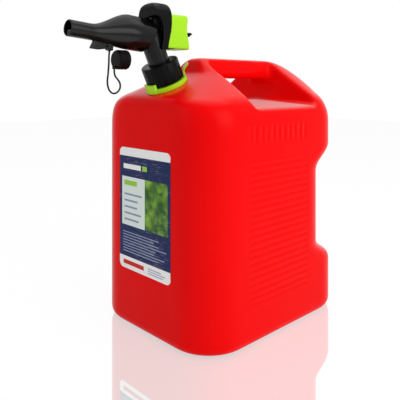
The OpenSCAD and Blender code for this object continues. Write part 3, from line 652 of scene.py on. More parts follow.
def add_circle(s, middle, half_height, half_width):
    place = (0, middle, s)
    bpy.ops.mesh.primitive_circle_add(vertices=BARREL_SIDES, radius=1, location=place)
    bpy.ops.transform.resize(value=(half_width, half_height, 1), center_override=place)


fresh()
bpy.context.tool_settings.mesh_select_mode = (True, False, False)
bpy.ops.mesh.primitive_plane_add(size=1)
barrel = bpy.context.object
barrel.name = "barrel"
bpy.ops.object.mode_set(mode="EDIT")
bpy.ops.mesh.delete(type="VERT")
for s in spread(BARREL_REAR, blend_end, BARREL_STATIONS) + [blend_end, BARREL_L - LIP_EDGE]:
    middle, half_height, half_width, pinch = station(s)
    add_circle(s, middle, half_height, half_width)
add_circle(BARREL_L, 0, TIP_R - LIP_EDGE, TIP_R - LIP_EDGE)
bpy.ops.mesh.select_all(action="SELECT")
bpy.ops.mesh.bridge_edge_loops()
bpy.ops.mesh.select_all(action="SELECT")
bpy.ops.mesh.fill_holes(sides=0)
close_up()
for vertex in barrel.data.vertices:
    middle, half_height, half_width, pinch = station(vertex.co.z)
    vertex.co.x *= 1 - pinch * max(0, min(1, (vertex.co.y - middle) / half_height))
print("Barrel skin has", len(barrel.data.polygons), "faces")

# %% [markdown]
# The rear end is cut on a slant, the hook fin and the tether's fork are added below, and the bores are
# cut through. One recast at the end welds it all with small fillets.

# %% Barrel's fin, fork and bores
REAR_CUT_AT, REAR_CUT_LEAN = 11, radians(22)
EYE_S, EYE_U = 67.9, -17.29
EYE_R, FORK_GAP, FORK_T, FORK_L, FORK_FOOT = 3.2, 4.6, 2, 7, 2.5
FIN_W, FIN_ROOT = 5, -8.7
HOOK_GAP, HOOK_MID, HOOK_L, HOOK_LEAN, HOOK_NOSE, HOOK_DROP = 5.4, 16.8, 28.4, 4.7, 1, 3.5
VALVE_LIFT, SPIGOT_R, SPIGOT_END = 8, 13.4, 24
SEAT_BORE, SEAT_END, MID_BORE = 12.4, 46, 9.6
TUBE_ROOM, TUBE_TOP = 15.3, 73.2
PIN_R = 1.5

take(barrel)
bpy.ops.object.mode_set(mode="EDIT")
bpy.ops.mesh.select_all(action="SELECT")
bpy.ops.mesh.bisect(plane_co=(0, 0, REAR_CUT_AT), plane_no=(0, sin(REAR_CUT_LEAN), cos(REAR_CUT_LEAN)),
    use_fill=True, clear_inner=True)
close_up()

fin_outline = [(HOOK_GAP, FIN_ROOT), (HOOK_GAP, EYE_U - HOOK_NOSE), (HOOK_MID, EYE_U - HOOK_DROP),
    (HOOK_L - HOOK_NOSE, EYE_U - HOOK_DROP), (HOOK_L, EYE_U - HOOK_DROP + HOOK_NOSE),
    (HOOK_L - HOOK_LEAN, FIN_ROOT)]
combine(barrel, side_slab("fin", [(u, EYE_S + s) for s, u in fin_outline], FIN_W), "UNION")
fork_half = FORK_GAP / 2 + FORK_T
fork_low, fork_high = EYE_S - FORK_L / 2, EYE_S + FORK_L / 2
fork = block("fork", (-fork_half, EYE_U - FORK_FOOT, fork_low), (fork_half, FIN_ROOT, fork_high))
combine(barrel, fork, "UNION")
gap_low = (-FORK_GAP / 2, EYE_U - EYE_R - 1, fork_low - 2)
gap_high = (FORK_GAP / 2, EYE_U + EYE_R + 0.4, fork_high + 1)
combine(barrel, block("fork_gap", gap_low, gap_high), "DIFFERENCE")


def bore(radius, start, end, lift=0):
    """Cut a round hole along the barrel."""
    drill = lathe("drill", [(0, start), (radius, start), (radius, end), (0, end)])
    combine(barrel, move(drill, Matrix.Translation((0, lift, 0))), "DIFFERENCE")


bore(SPIGOT_R, -40, SPIGOT_END, VALVE_LIFT)
bore(SEAT_BORE, SPIGOT_END - 1, SEAT_END, VALVE_LIFT)
bore(MID_BORE, SEAT_END - 4, BARREL_L - TIP_L)
bore(TIP_BORE, BARREL_L - TIP_L - 1, BARREL_L + 1)
tube_room = lathe("tube_room", [(0, 0), (TUBE_ROOM, 0), (TUBE_ROOM, TUBE_TOP), (0, TUBE_TOP)])
combine(barrel, move(tube_room, barrel_frame.inverted() @ neck_frame), "DIFFERENCE")
pin_hole = lathe("pin_hole", [(0, -10), (PIN_R, -10), (PIN_R, 10), (0, 10)], 32)
across_pin = Matrix.Translation((0, EYE_U, EYE_S)) @ Matrix.Rotation(pi / 2, 4, "Y")
combine(barrel, move(pin_hole, across_pin), "DIFFERENCE")
soften(barrel, 0.6, 4)
fit(barrel, barrel_frame, "spout", "nozzle_barrel", "black_plastic")

# %% [markdown]
# ## The hood
# The hood is an arch with a round nose. A block whose two top edges are bevelled by nearly its half width
# is that arch, and it stays true to size, which a squeezed cylinder would not. A smaller arch hollows it
# out, less a screen with two ears, which hides the inside of the button behind it. Side outlines cut the
# round nose, the opening for the barrel and the swept rear edge.

# %% Hood
HOOD_RIB = 0.3
hood_low, hood_high = (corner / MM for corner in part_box("hood"))
HOOD_HALF, HOOD_TOP = 19.6, hood_high.z - HOOD_RIB
HOOD_FRONT, HOOD_REAR, HOOD_FOOT = hood_low.y, hood_high.y, hood_low.z
HOOD_WALL, SCREEN_T, NOSE_R = 2.1, 1.6, 9
BROW_Z, BROW_REACH, BROW_CURVE = joint_point.z + 35, 11, 18
CHEEK_FRONT = joint_point.y + 5
SCREEN_Z = joint_point.z + 21.7
SCREEN_EAR_IN, SCREEN_EAR_OUT, SCREEN_EAR_Z = 7, 14.4, joint_point.z + 15
SWEEP, SWEEP_H = 6, 34
ARCH_STEPS = 24


def arch(name, half, low, high, radius):
    """A block from low to high, given in Y and Z, whose two top edges are rounded."""
    piece = block(name, (-half, *low), (half, *high))

    def top_edge(places, item):
        a, b = places
        return abs(a.y - b.y) > 1 and a.z > high[1] - WELD and b.z > high[1] - WELD

    pick(piece, "edges", top_edge)
    bpy.ops.mesh.bevel(offset=radius, segments=ARCH_STEPS, affect="EDGES")
    close_up()
    return piece


def nose_cut(inset):
    """The corner above the round nose, as a slab."""
    turns = [pi / 2 * k / 12 for k in range(13)]
    r, y, z = NOSE_R - inset, HOOD_FRONT + NOSE_R, HOOD_TOP - NOSE_R
    outline = [(y - r * cos(turn), z + r * sin(turn)) for turn in turns]
    outline += [(y, HOOD_TOP + 2), (HOOD_FRONT - 2, HOOD_TOP + 2), (HOOD_FRONT - 2, z)]
    return side_slab("nose_cut", outline, 3 * HOOD_HALF)


hood = arch("hood_piece", HOOD_HALF, (HOOD_FRONT, HOOD_FOOT), (HOOD_REAR, HOOD_TOP), HOOD_HALF - 0.02)
combine(hood, nose_cut(0), "DIFFERENCE")
inner_half = HOOD_HALF - HOOD_WALL
inside_low, inside_high = (HOOD_FRONT + HOOD_WALL, HOOD_FOOT - 5), (HOOD_REAR + 5, HOOD_TOP - HOOD_WALL)
inside = arch("inside", inner_half, inside_low, inside_high, inner_half - 0.02)
combine(inside, nose_cut(HOOD_WALL), "DIFFERENCE")
screen_rear = CHEEK_FRONT + SCREEN_T
screen = block("screen", (-HOOD_HALF, CHEEK_FRONT, SCREEN_Z), (HOOD_HALF, screen_rear, HOOD_TOP))
combine(inside, screen, "DIFFERENCE")
for side in (-1, 1):
    inner, outer = sorted((side * SCREEN_EAR_IN, side * SCREEN_EAR_OUT))
    ear = block("ear", (inner, CHEEK_FRONT, SCREEN_EAR_Z), (outer, screen_rear, SCREEN_Z + 1))
    combine(inside, ear, "DIFFERENCE")
combine(hood, inside, "DIFFERENCE")
print("Hood is", round(HOOD_TOP - HOOD_FOOT, 1), "mm tall")

# %% Openings of the hood
brow = [pi / 2 * k / 10 for k in range(11)]
front_cut = [(HOOD_FRONT - 1, HOOD_FOOT - 1), (CHEEK_FRONT - 3, HOOD_FOOT - 1), (CHEEK_FRONT, HOOD_FOOT + 14)]
front_cut += [(CHEEK_FRONT - BROW_REACH * (1 - cos(turn)), BROW_Z - BROW_CURVE * (1 - sin(turn)))
    for turn in brow]
front_cut += [(HOOD_FRONT - 1, BROW_Z)]
combine(hood, side_slab("front_cut", front_cut, 3 * HOOD_HALF), "DIFFERENCE")
rear_cut = [(HOOD_REAR + 2, HOOD_FOOT - 1), (HOOD_REAR - SWEEP, HOOD_FOOT - 1)]
rear_cut += [(HOOD_REAR - SWEEP * (1 - ease(k / 8)), HOOD_FOOT + SWEEP_H * k / 8) for k in range(9)]
rear_cut += [(HOOD_REAR + 2, HOOD_FOOT + SWEEP_H)]
combine(hood, side_slab("rear_cut", rear_cut, 3 * HOOD_HALF), "DIFFERENCE")
print("Cheeks start", round(CHEEK_FRONT - HOOD_FRONT, 1), "mm behind the nose")

# %% [markdown]
# Fine grip ribs run along the crown. The hood is recast first, which rounds its edges. Then one rib is made
# and copied round the arch, each copy turned about the arch's centre, so that the ribs stay crisp.

# %% Ribs along the hood's crown
HOOD_RIB_R, HOOD_RIB_COUNT, HOOD_RIB_STEP, HOOD_RIB_INSET = 0.7, 15, 9, 2.5
arch_centre = Vector((0, 0, HOOD_TOP - HOOD_HALF))
rib_start, rib_end = HOOD_FRONT + NOSE_R, HOOD_REAR - HOOD_RIB_INSET
rib_section = [(0, rib_start), (HOOD_RIB_R, rib_start + 1), (HOOD_RIB_R, rib_end - 1), (0, rib_end)]
soften(hood, 0.5, 3)
one_rib = lathe("one_rib", rib_section, 12)
lay_down = frame_along(Vector((0, 0, HOOD_HALF - HOOD_RIB_R + HOOD_RIB)), Vector((0, 1, 0)))
move(one_rib, lay_down)
for k in range(HOOD_RIB_COUNT):
    lean = radians(HOOD_RIB_STEP * (k - (HOOD_RIB_COUNT - 1) / 2))
    rib = bpy.data.objects.new("rib", one_rib.data.copy())
    bpy.context.scene.collection.objects.link(rib)
    move(rib, Matrix.Translation(arch_centre) @ Matrix.Rotation(lean, 4, "Y"))
    combine(hood, rib, "UNION")
bpy.data.objects.remove(one_rib)
take(hood)
bpy.ops.object.shade_smooth_by_angle(angle=radians(40))
fit(hood, upright, "spout", "hood", "black_plastic")

# %% [markdown]
# ## The trigger button
# The lime button is a thin box with round edges, open in front, with a hollowed rear face for the thumb.
# Extra rings are cut round it so that the rear has points to move, and each point is shifted by a smooth
# curve of its height.

# %% Button
BUTTON_HALF, BUTTON_WALL = 17.1, 1.7
button_low, button_high = (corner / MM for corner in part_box("trigger_button"))
BUTTON_FOOT, BUTTON_TOP = button_low.z, button_high.z
BUTTON_HEEL, BUTTON_WAIST, BUTTON_BROW = 2, 2.5, 0.8
BUTTON_CORNER, BUTTON_FOOT_R, BUTTON_RIM = 5, 3.4, 3.4
BUTTON_REAR = button_high.y - BUTTON_HEEL
BUTTON_FRONT = button_low.y
TOP_SETBACK = SWEEP
FLOOR_Y = joint_point.y + 29
WAIST_AT = 0.58
SHIFT_FROM = BUTTON_REAR - 18


def rear_shift(y, z):
    """How far the rear of the button moves back at a height, less and less towards the front."""
    share = (z - BUTTON_FOOT) / (BUTTON_TOP - BUTTON_FOOT)
    if share < WAIST_AT:
        shift = BUTTON_HEEL - (BUTTON_HEEL + BUTTON_WAIST) * ease(share / WAIST_AT)
    else:
        shift = -BUTTON_WAIST + (BUTTON_WAIST - BUTTON_BROW) * ease((share - WAIST_AT) / (1 - WAIST_AT))
    return shift * ease((y - SHIFT_FROM) / (BUTTON_REAR - SHIFT_FROM))


def round_rim(piece, y, width):
    """Bevel the edge that runs round the end of a piece at y."""

    def on_rim(places, item):
        return all(abs(place.y - y) < WELD for place in places)

    pick(piece, "edges", on_rim)
    bpy.ops.mesh.bevel(offset=width, segments=5, affect="EDGES")
    close_up()


def round_foot(piece, z, width):
    """Bevel the two long bottom edges at z."""

    def on_foot(places, item):
        a, b = places
        return abs(a.y - b.y) > 1 and max(a.z, b.z) < z + WELD

    pick(piece, "edges", on_foot)
    bpy.ops.mesh.bevel(offset=width, segments=6, affect="EDGES")
    close_up()


def button_shell(name, inset, front):
    """The button's outer or inner shape, with its rear face moved to its curve."""
    low, high = (front, BUTTON_FOOT + inset), (BUTTON_REAR - inset, BUTTON_TOP - inset)
    piece = arch(name, BUTTON_HALF - inset, low, high, BUTTON_CORNER - inset)
    round_foot(piece, low[1], BUTTON_FOOT_R - inset)
    round_rim(piece, high[0], BUTTON_RIM - inset)
    take(piece)
    bpy.ops.object.mode_set(mode="EDIT")
    for z in spread(low[1] + 3, high[1], 16):
        bpy.ops.mesh.select_all(action="SELECT")
        bpy.ops.mesh.bisect(plane_co=(0, 0, z), plane_no=(0, 0, 1))
    for y in spread(SHIFT_FROM, BUTTON_REAR, 6):
        bpy.ops.mesh.select_all(action="SELECT")
        bpy.ops.mesh.bisect(plane_co=(0, y, 0), plane_no=(0, 1, 0))
    close_up()
    for vertex in piece.data.vertices:
        vertex.co.y += rear_shift(vertex.co.y, vertex.co.z)
    return piece


button = button_shell("button", 0, BUTTON_FRONT)
combine(button, button_shell("button_inside", BUTTON_WALL, BUTTON_FRONT - 5), "DIFFERENCE")
floor_half = BUTTON_HALF - BUTTON_WALL
floor_low = (-floor_half, BUTTON_FRONT - 1, BUTTON_FOOT - 1)
floor_high = (floor_half, FLOOR_Y, BUTTON_FOOT + 3)
combine(button, block("floor_gap", floor_low, floor_high), "DIFFERENCE")
slant = [(BUTTON_FRONT - 1, BUTTON_FOOT - 1), (BUTTON_FRONT, BUTTON_FOOT - 1),
    (BUTTON_FRONT + TOP_SETBACK, BUTTON_TOP + 1), (BUTTON_FRONT - 1, BUTTON_TOP + 1)]
combine(button, side_slab("slant", slant, 3 * BUTTON_HALF), "DIFFERENCE")
print("Button is", round(BUTTON_TOP - BUTTON_FOOT, 1), "mm tall")

# %% [markdown]
# The safety catch's tail comes out through a slot in the button's rear wall. The slot is a little longer
# than the tail is tall, since the catch slides up in it.

# %% Catch slot and safety catch
SLOT_HALF, SLOT_LOW, SLOT_H = 2.6, 19.9, 9.8
slot_low = (-SLOT_HALF, BUTTON_REAR - 10, BUTTON_FOOT + SLOT_LOW)
slot_high = (SLOT_HALF, BUTTON_REAR + 5, BUTTON_FOOT + SLOT_LOW + SLOT_H)
combine(button, block("slot", slot_low, slot_high), "DIFFERENCE")
soften(button, 0.55, 5)
fit(button, upright, "trigger", "trigger_button", "lime_plastic")

catch = solid_copy("catch_lever", "safety_catch")
soften(catch, 0.3, 4)
fit(catch, upright, "catch", "safety_catch", "black_plastic")

# %% [markdown]
# ## The nozzle cap
# The cap is a small cup with fine grip flutes and a bead round its open end. Faces of the spun wall are
# pushed out in pairs for the flutes, and a lug takes the tether's end.

# %% Cap with flutes and lug
CAP_R, CAP_BORE, CAP_L, CAP_FLOOR = 12.75, 10.65, 16, 2.1
CAP_BEAD, CAP_FLUTE = 2.2, 0.45
LUG_HALF, LUG_LOW, LUG_H = 2, 12.35, 4
cap_wall = CAP_R - CAP_FLUTE

bead_low = CAP_L - CAP_BEAD
cap_section = [(0, 0), (cap_wall - 1.2, 0), (cap_wall, 1.2), (cap_wall, 2), (cap_wall, bead_low - 0.6),
    (CAP_R, bead_low), (CAP_R, CAP_L), (CAP_BORE, CAP_L), (CAP_BORE, CAP_FLOOR), (0, CAP_FLOOR)]
cap = lathe("cap", cap_section)


def on_flute(places, face):
    spot = Vector((face.center.x, face.center.y))
    step = int(Vector((1, 0)).angle_signed(spot) / (2 * pi) * LATHE_STEPS + LATHE_STEPS)
    tall = 2 < face.center.z < CAP_L - CAP_BEAD - 0.6
    return tall and spot.length > CAP_BORE + 1 and step % 4 < 2


pick(cap, "faces", on_flute)
bpy.ops.mesh.extrude_region_shrink_fatten(TRANSFORM_OT_shrink_fatten={"value": CAP_FLUTE})
close_up()
lug = block("lug", (-LUG_HALF, LUG_LOW - LUG_H, -lug_l), (LUG_HALF, LUG_LOW, CAP_FLOOR))
combine(cap, lug, "UNION")
soften(cap, 0.3, 3)
fit(cap, cap_frame, "cap", "nozzle_cap", "black_plastic")

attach(cap_strap, "cap")
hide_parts("cap_tether")
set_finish(cap_strap, "black_plastic")

# %% [markdown]
# ## Finishes
# Moulded plastic is never one flat colour: the pigment drifts a little, the mould leaves a fine grain,
# edges get rubbed pale and handling leaves faint scuffs. Each effect is a node group, built once and
# placed in each material with its own values. All of them read Object coordinates, so they stay put from
# any side.

# %% Node groups


def node(tree, kind, **inputs):
    """Add a node and set its inputs by name."""
    made = tree.nodes.new(kind)
    for name, value in inputs.items():
        made.inputs[name.replace("_", " ")].default_value = value
    return made


def maths(tree, operation, a, b):
    """A maths node on two values or sockets."""
    made = tree.nodes.new("ShaderNodeMath")
    made.operation = operation
    for socket, value in zip(made.inputs, (a, b)):
        if isinstance(value, (int, float)):
            socket.default_value = value
        else:
            tree.links.new(value, socket)
    return made.outputs[0]


def new_group(name, inputs, outputs):
    """An empty node group with named sockets, and its input and output nodes."""
    group = bpy.data.node_groups.new(name, "ShaderNodeTree")
    kinds = {float: "NodeSocketFloat", tuple: "NodeSocketColor"}
    for label, value in inputs.items():
        socket = group.interface.new_socket(label, in_out="INPUT", socket_type=kinds[type(value)])
        socket.default_value = value
    for label, kind in outputs.items():
        group.interface.new_socket(label, in_out="OUTPUT", socket_type=kind)
    return group, group.nodes.new("NodeGroupInput"), group.nodes.new("NodeGroupOutput")


def object_noise(tree, scale, detail=3.0, stretch=(1, 1, 1)):
    """Noise in Object coordinates, stretched along an axis if need be."""
    place = tree.nodes.new("ShaderNodeTexCoord")
    mapping = node(tree, "ShaderNodeMapping", Scale=stretch)
    noise = node(tree, "ShaderNodeTexNoise", Detail=detail)
    tree.links.new(place.outputs["Object"], mapping.inputs["Vector"])
    tree.links.new(mapping.outputs["Vector"], noise.inputs["Vector"])
    if isinstance(scale, (int, float)):
        noise.inputs["Scale"].default_value = scale
    else:
        tree.links.new(scale, noise.inputs["Scale"])
    return noise.outputs["Fac"]


grain_group, grain_in, grain_out = new_group("MouldGrain", {"Scale": 900.0, "Depth": 1.0},
    {"Height": "NodeSocketFloat", "Gloss": "NodeSocketFloat"})
fine = object_noise(grain_group, grain_in.outputs["Scale"], 4.0)
broad = object_noise(grain_group, 55.0, 2.0)
height = maths(grain_group, "MULTIPLY", fine, grain_in.outputs["Depth"])
broad_gloss = maths(grain_group, "MULTIPLY", broad, 0.12)
gloss = maths(grain_group, "ADD", broad_gloss, maths(grain_group, "MULTIPLY", fine, 0.05))
grain_group.links.new(height, grain_out.inputs["Height"])
grain_group.links.new(gloss, grain_out.inputs["Gloss"])

drift_group, drift_in, drift_out = new_group("PigmentDrift", {"Colour": (0.5, 0.5, 0.5, 1.0),
    "Deep": (0.3, 0.3, 0.3, 1.0), "Amount": 0.3}, {"Colour": "NodeSocketColor"})
cloud = maths(drift_group, "MULTIPLY", object_noise(drift_group, 9.0, 4.0), drift_in.outputs["Amount"])
drift_mix = drift_group.nodes.new("ShaderNodeMix")
drift_mix.data_type = "RGBA"
drift_group.links.new(cloud, drift_mix.inputs[0])
drift_group.links.new(drift_in.outputs["Colour"], drift_mix.inputs[6])
drift_group.links.new(drift_in.outputs["Deep"], drift_mix.inputs[7])
drift_group.links.new(drift_mix.outputs[2], drift_out.inputs["Colour"])

wear_group, wear_in, wear_out = new_group("RubbedEdges", {"Start": 0.52, "Reach": 0.06, "Amount": 0.3},
    {"Mask": "NodeSocketFloat"})
shape = wear_group.nodes.new("ShaderNodeNewGeometry")
rise = maths(wear_group, "SUBTRACT", shape.outputs["Pointiness"], wear_in.outputs["Start"])
sharp = wear_group.nodes.new("ShaderNodeClamp")
wear_group.links.new(maths(wear_group, "DIVIDE", rise, wear_in.outputs["Reach"]), sharp.inputs["Value"])
broken = maths(wear_group, "MULTIPLY", sharp.outputs[0], object_noise(wear_group, 140.0, 4.0))
worn_mask = maths(wear_group, "MULTIPLY", broken, wear_in.outputs["Amount"])
wear_group.links.new(worn_mask, wear_out.inputs["Mask"])

scuff_group, scuff_in, scuff_out = new_group("Scuffs", {"Scale": 60.0, "Amount": 0.2},
    {"Mask": "NodeSocketFloat"})
streak = object_noise(scuff_group, scuff_in.outputs["Scale"], 6.0, (1.0, 1.0, 14.0))
patch = object_noise(scuff_group, 14.0, 2.0)
thin = scuff_group.nodes.new("ShaderNodeMapRange")
thin.inputs["From Min"].default_value = 0.62
thin.inputs["From Max"].default_value = 0.72
patched = maths(scuff_group, "MULTIPLY", streak, maths(scuff_group, "ADD", patch, 0.55))
scuff_group.links.new(patched, thin.inputs["Value"])
scuffed = maths(scuff_group, "MULTIPLY", thin.outputs[0], scuff_in.outputs["Amount"])
scuff_group.links.new(scuffed, scuff_out.inputs["Mask"])
print("Groups:", [group.name for group in bpy.data.node_groups])

# %% [markdown]
# A moulded finish joins these groups: drifted pigment, paler where edges are rubbed, and a roughness and
# bump from the grain. Constants such as the specular level stay on the shader's own sockets.

# %% Moulded plastic


def srgb(red, green, blue):
    """A colour as read on a screen, made linear for the shader."""
    def linear(v):
        v /= 255
        return v / 12.92 if v <= 0.04045 else ((v + 0.055) / 1.055) ** 2.4
    return linear(red), linear(green), linear(blue), 1.0


def group_node(tree, group, **inputs):
    """Place a node group and set its inputs."""
    made = tree.nodes.new("ShaderNodeGroup")
    made.node_tree = group
    for name, value in inputs.items():
        made.inputs[name].default_value = value
    return made


def blend_colours(tree, share, first, second):
    """Mix two colours by a mask; each colour is a value or a socket."""
    mix = tree.nodes.new("ShaderNodeMix")
    mix.data_type = "RGBA"
    tree.links.new(share, mix.inputs[0])
    for socket, colour in ((mix.inputs[6], first), (mix.inputs[7], second)):
        if isinstance(colour, tuple):
            socket.default_value = colour
        else:
            tree.links.new(colour, socket)
    return mix.outputs[2]


def new_material(name):
    """An empty material with a Principled shader wired to its output."""
    material = bpy.data.materials.new(name)
    material.use_nodes = True
    tree = material.node_tree
    return material, tree, tree.nodes["Principled BSDF"]


def moulded(name, colour, deep, worn, rough=0.35, grain=900.0, depth=0.06, drift=0.35, wear=0.3, scuff=0.15,
        specular=0.25):
    """A moulded plastic with pigment drift, grain, rubbed edges and scuffs."""
    material, tree, shader = new_material(name)
    pigment = group_node(tree, drift_group, Colour=colour, Deep=deep, Amount=drift)
    edges = group_node(tree, wear_group, Amount=wear)
    marks = group_node(tree, scuff_group, Amount=scuff)
    surface = group_node(tree, grain_group, Scale=grain)
    mask = maths(tree, "MAXIMUM", edges.outputs["Mask"], marks.outputs["Mask"])
    tree.links.new(blend_colours(tree, mask, pigment.outputs["Colour"], worn), shader.inputs["Base Color"])
    plain_tone = maths(tree, "ADD", surface.outputs["Gloss"], rough - 0.09)
    tone = maths(tree, "ADD", plain_tone, maths(tree, "MULTIPLY", mask, 0.25))
    tree.links.new(tone, shader.inputs["Roughness"])
    bump = node(tree, "ShaderNodeBump", Strength=depth, Distance=0.001)
    tree.links.new(surface.outputs["Height"], bump.inputs["Height"])
    tree.links.new(bump.outputs["Normal"], shader.inputs["Normal"])
    shader.inputs["Specular IOR Level"].default_value = specular
    return material


tank_red = moulded("tank_red_finish", srgb(238, 6, 8), srgb(224, 3, 5), srgb(246, 50, 46), rough=0.24,
    grain=420.0, depth=0.03, wear=0.2, scuff=0.05, specular=0.04)
lime = moulded("lime_finish", srgb(166, 230, 22), srgb(144, 212, 14), srgb(210, 246, 110), rough=0.32,
    depth=0.05)
black = moulded("black_finish", srgb(8, 8, 8), srgb(5, 5, 5), srgb(38, 38, 39), rough=0.17, grain=1500.0,
    depth=0.04, wear=0.15, specular=0.19)
soft_black = moulded("soft_black_finish", srgb(8, 8, 8), srgb(5, 5, 5), srgb(32, 32, 33), rough=0.3,
    grain=1500.0, depth=0.08, wear=0.2, specular=0.07)
grey = moulded("grey_finish", srgb(96, 96, 98), srgb(74, 74, 76), srgb(150, 150, 150), rough=0.5, depth=0.1)
acetal = moulded("acetal_finish", srgb(236, 233, 222), srgb(222, 216, 198), srgb(250, 250, 246), rough=0.42)
rubber = moulded("rubber_finish", srgb(30, 30, 31), srgb(22, 22, 23), srgb(70, 70, 70), rough=0.7,
    grain=2200.0, depth=0.15, scuff=0.25, specular=0.3)
print("Moulded finishes made")

# %% [markdown]
# The tank's top is glossier than its walls, because the mould was polished there. A value kept at each
# point of the mesh tells the material how far a face looks up, and it sets the weight of a coat over the
# red. The floor of the hand hollow gets a copy of the red with a strong sheen of its own. This is a painted
# sheen, which stands in for the pale reflection that this floor shows from a low view.

# %% Gloss on level faces and painted sheen on the hollow floor
LEVEL_FROM, LEVEL_TO = 0.6, 0.98
TOP_COAT, COAT_ROUGH = 0.6, 0.24
PAINTED_SHEEN, PAINTED_SHEEN_ROUGH = 0.9, 0.3


def level_share(normal):
    return min(max((normal.z - LEVEL_FROM) / (LEVEL_TO - LEVEL_FROM), 0.0), 1.0)


def on_hollow_floor(face):
    near_floor = abs(face.center.z / MM - HAND_FLOOR + HAND_FALL / 2) < HAND_FALL
    inside = HAND_FRONT < face.center.y / MM < HAND_REAR
    return near_floor and inside and face.normal.z > LEVEL_FROM


levels_kept = tank.data.attributes.new("level", "FLOAT", "POINT")
for vertex in tank.data.vertices:
    levels_kept.data[vertex.index].value = level_share(vertex.normal)
red_tree = tank_red.node_tree
red_shader = red_tree.nodes["Principled BSDF"]
level_reader = red_tree.nodes.new("ShaderNodeAttribute")
level_reader.attribute_name = "level"
red_coat = maths(red_tree, "MULTIPLY", level_reader.outputs["Fac"], TOP_COAT)
red_tree.links.new(red_coat, red_shader.inputs["Coat Weight"])
red_shader.inputs["Coat Roughness"].default_value = COAT_ROUGH
# A copy of the red with a strong sheen for the hollow's floor: a painted sheen that stands in for a reflection.
painted_sheen_red = tank_red.copy()
painted_sheen_red.name = "painted_sheen_red_finish"
painted_sheen_shader = painted_sheen_red.node_tree.nodes["Principled BSDF"]
painted_sheen_shader.inputs["Sheen Weight"].default_value = PAINTED_SHEEN
painted_sheen_shader.inputs["Sheen Roughness"].default_value = PAINTED_SHEEN_ROUGH
print("Made", painted_sheen_red.name)

# %% [markdown]
# Spring wire is drawn through a die, which leaves fine lines along it. A stretched noise in the roughness
# and a slightly uneven metal colour are enough at this size.

# %% Spring steel
steel, steel_tree, steel_shader = new_material("spring_steel_finish")
steel_lines = object_noise(steel_tree, 700.0, 4.0, (1.0, 0.15, 1.0))
steel_cloud = object_noise(steel_tree, 120.0, 3.0)
steel_tree.links.new(blend_colours(steel_tree, steel_cloud, srgb(176, 177, 180), srgb(206, 206, 208)),
    steel_shader.inputs["Base Color"])
steel_tree.links.new(maths(steel_tree, "ADD", maths(steel_tree, "MULTIPLY", steel_lines, 0.25), 0.15),
    steel_shader.inputs["Roughness"])
steel_shader.inputs["Metallic"].default_value = 1.0
print("Made", steel.name)

# %% [markdown]
# ## The label
# The front carries a printed film. The print here is a plain design of its own: bands, a field of leaves
# and rows of bars, with no words. It is all drawn with masks in Object coordinates, X across and Z up, so
# it needs no picture file and stays sharp close up.

# %% Masks for the print
label_low, label_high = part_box("front_label")
LABEL_W, LABEL_H = label_high.x - label_low.x, label_high.z - label_low.z

panel_group, panel_in, panel_out = new_group("PrintPanel", {"Across": 0.0, "Up": 0.0, "Left": 0.0,
    "Right": 1.0, "Low": 0.0, "High": 1.0}, {"Mask": "NodeSocketFloat"})
sides = [("GREATER_THAN", "Across", "Left"), ("LESS_THAN", "Across", "Right"), ("GREATER_THAN", "Up", "Low"),
    ("LESS_THAN", "Up", "High")]
panel_mask = 1.0
for operation, place, limit in sides:
    test = maths(panel_group, operation, panel_in.outputs[place], panel_in.outputs[limit])
    panel_mask = maths(panel_group, "MULTIPLY", test, panel_mask)
panel_group.links.new(panel_mask, panel_out.inputs["Mask"])

bars_group, bars_in, bars_out = new_group("PrintBars", {"Across": 0.0, "Up": 0.0, "Left": 0.0, "Right": 1.0,
    "Low": 0.0, "High": 1.0, "Rows": 6.0, "Ink": 0.45}, {"Mask": "NodeSocketFloat"})
span = maths(bars_group, "SUBTRACT", bars_in.outputs["High"], bars_in.outputs["Low"])
above_low = maths(bars_group, "SUBTRACT", bars_in.outputs["Up"], bars_in.outputs["Low"])
up_share = maths(bars_group, "DIVIDE", above_low, span)
row = maths(bars_group, "MULTIPLY", up_share, bars_in.outputs["Rows"])
inked = maths(bars_group, "LESS_THAN", maths(bars_group, "FRACT", row, 0.0), bars_in.outputs["Ink"])
chance = bars_group.nodes.new("ShaderNodeTexWhiteNoise")
chance.noise_dimensions = "1D"
bars_group.links.new(maths(bars_group, "FLOOR", row, 0.0), chance.inputs["W"])
width = maths(bars_group, "SUBTRACT", bars_in.outputs["Right"], bars_in.outputs["Left"])
cut_short = maths(bars_group, "MULTIPLY", maths(bars_group, "MULTIPLY", chance.outputs["Value"], 0.3), width)
right_end = maths(bars_group, "SUBTRACT", bars_in.outputs["Right"], cut_short)
frame_mask = group_node(bars_group, panel_group)
for label in ("Across", "Up", "Left", "Low", "High"):
    bars_group.links.new(bars_in.outputs[label], frame_mask.inputs[label])
bars_group.links.new(right_end, frame_mask.inputs["Right"])
inked_in_frame = maths(bars_group, "MULTIPLY", inked, frame_mask.outputs["Mask"])
bars_group.links.new(inked_in_frame, bars_out.inputs["Mask"])
print("Label is", round(LABEL_W, 3), "by", round(LABEL_H, 3), "m")

# %% Print of the label
label_film, film_tree, film_shader = new_material("label_print")
film_place = film_tree.nodes.new("ShaderNodeTexCoord")
film_axes = film_tree.nodes.new("ShaderNodeSeparateXYZ")
film_tree.links.new(film_place.outputs["Object"], film_axes.inputs[0])
from_left = maths(film_tree, "SUBTRACT", film_axes.outputs["X"], label_low.x)
from_foot = maths(film_tree, "SUBTRACT", film_axes.outputs["Z"], label_low.z)
across = maths(film_tree, "DIVIDE", from_left, LABEL_W)
up = maths(film_tree, "DIVIDE", from_foot, LABEL_H)

NAVY, PALE, WHITE = srgb(22, 36, 86), srgb(226, 238, 232), srgb(246, 247, 246)
GREEN, DEEP_GREEN, LEAF = srgb(40, 90, 40), srgb(16, 46, 26), srgb(150, 206, 70)
RED, SLATE = srgb(206, 30, 30), srgb(142, 156, 186)


def print_mask(group, left, right, low, high, **more):
    made = group_node(film_tree, group, Left=left, Right=right, Low=low, High=high, **more)
    film_tree.links.new(across, made.inputs["Across"])
    film_tree.links.new(up, made.inputs["Up"])
    return made.outputs["Mask"]


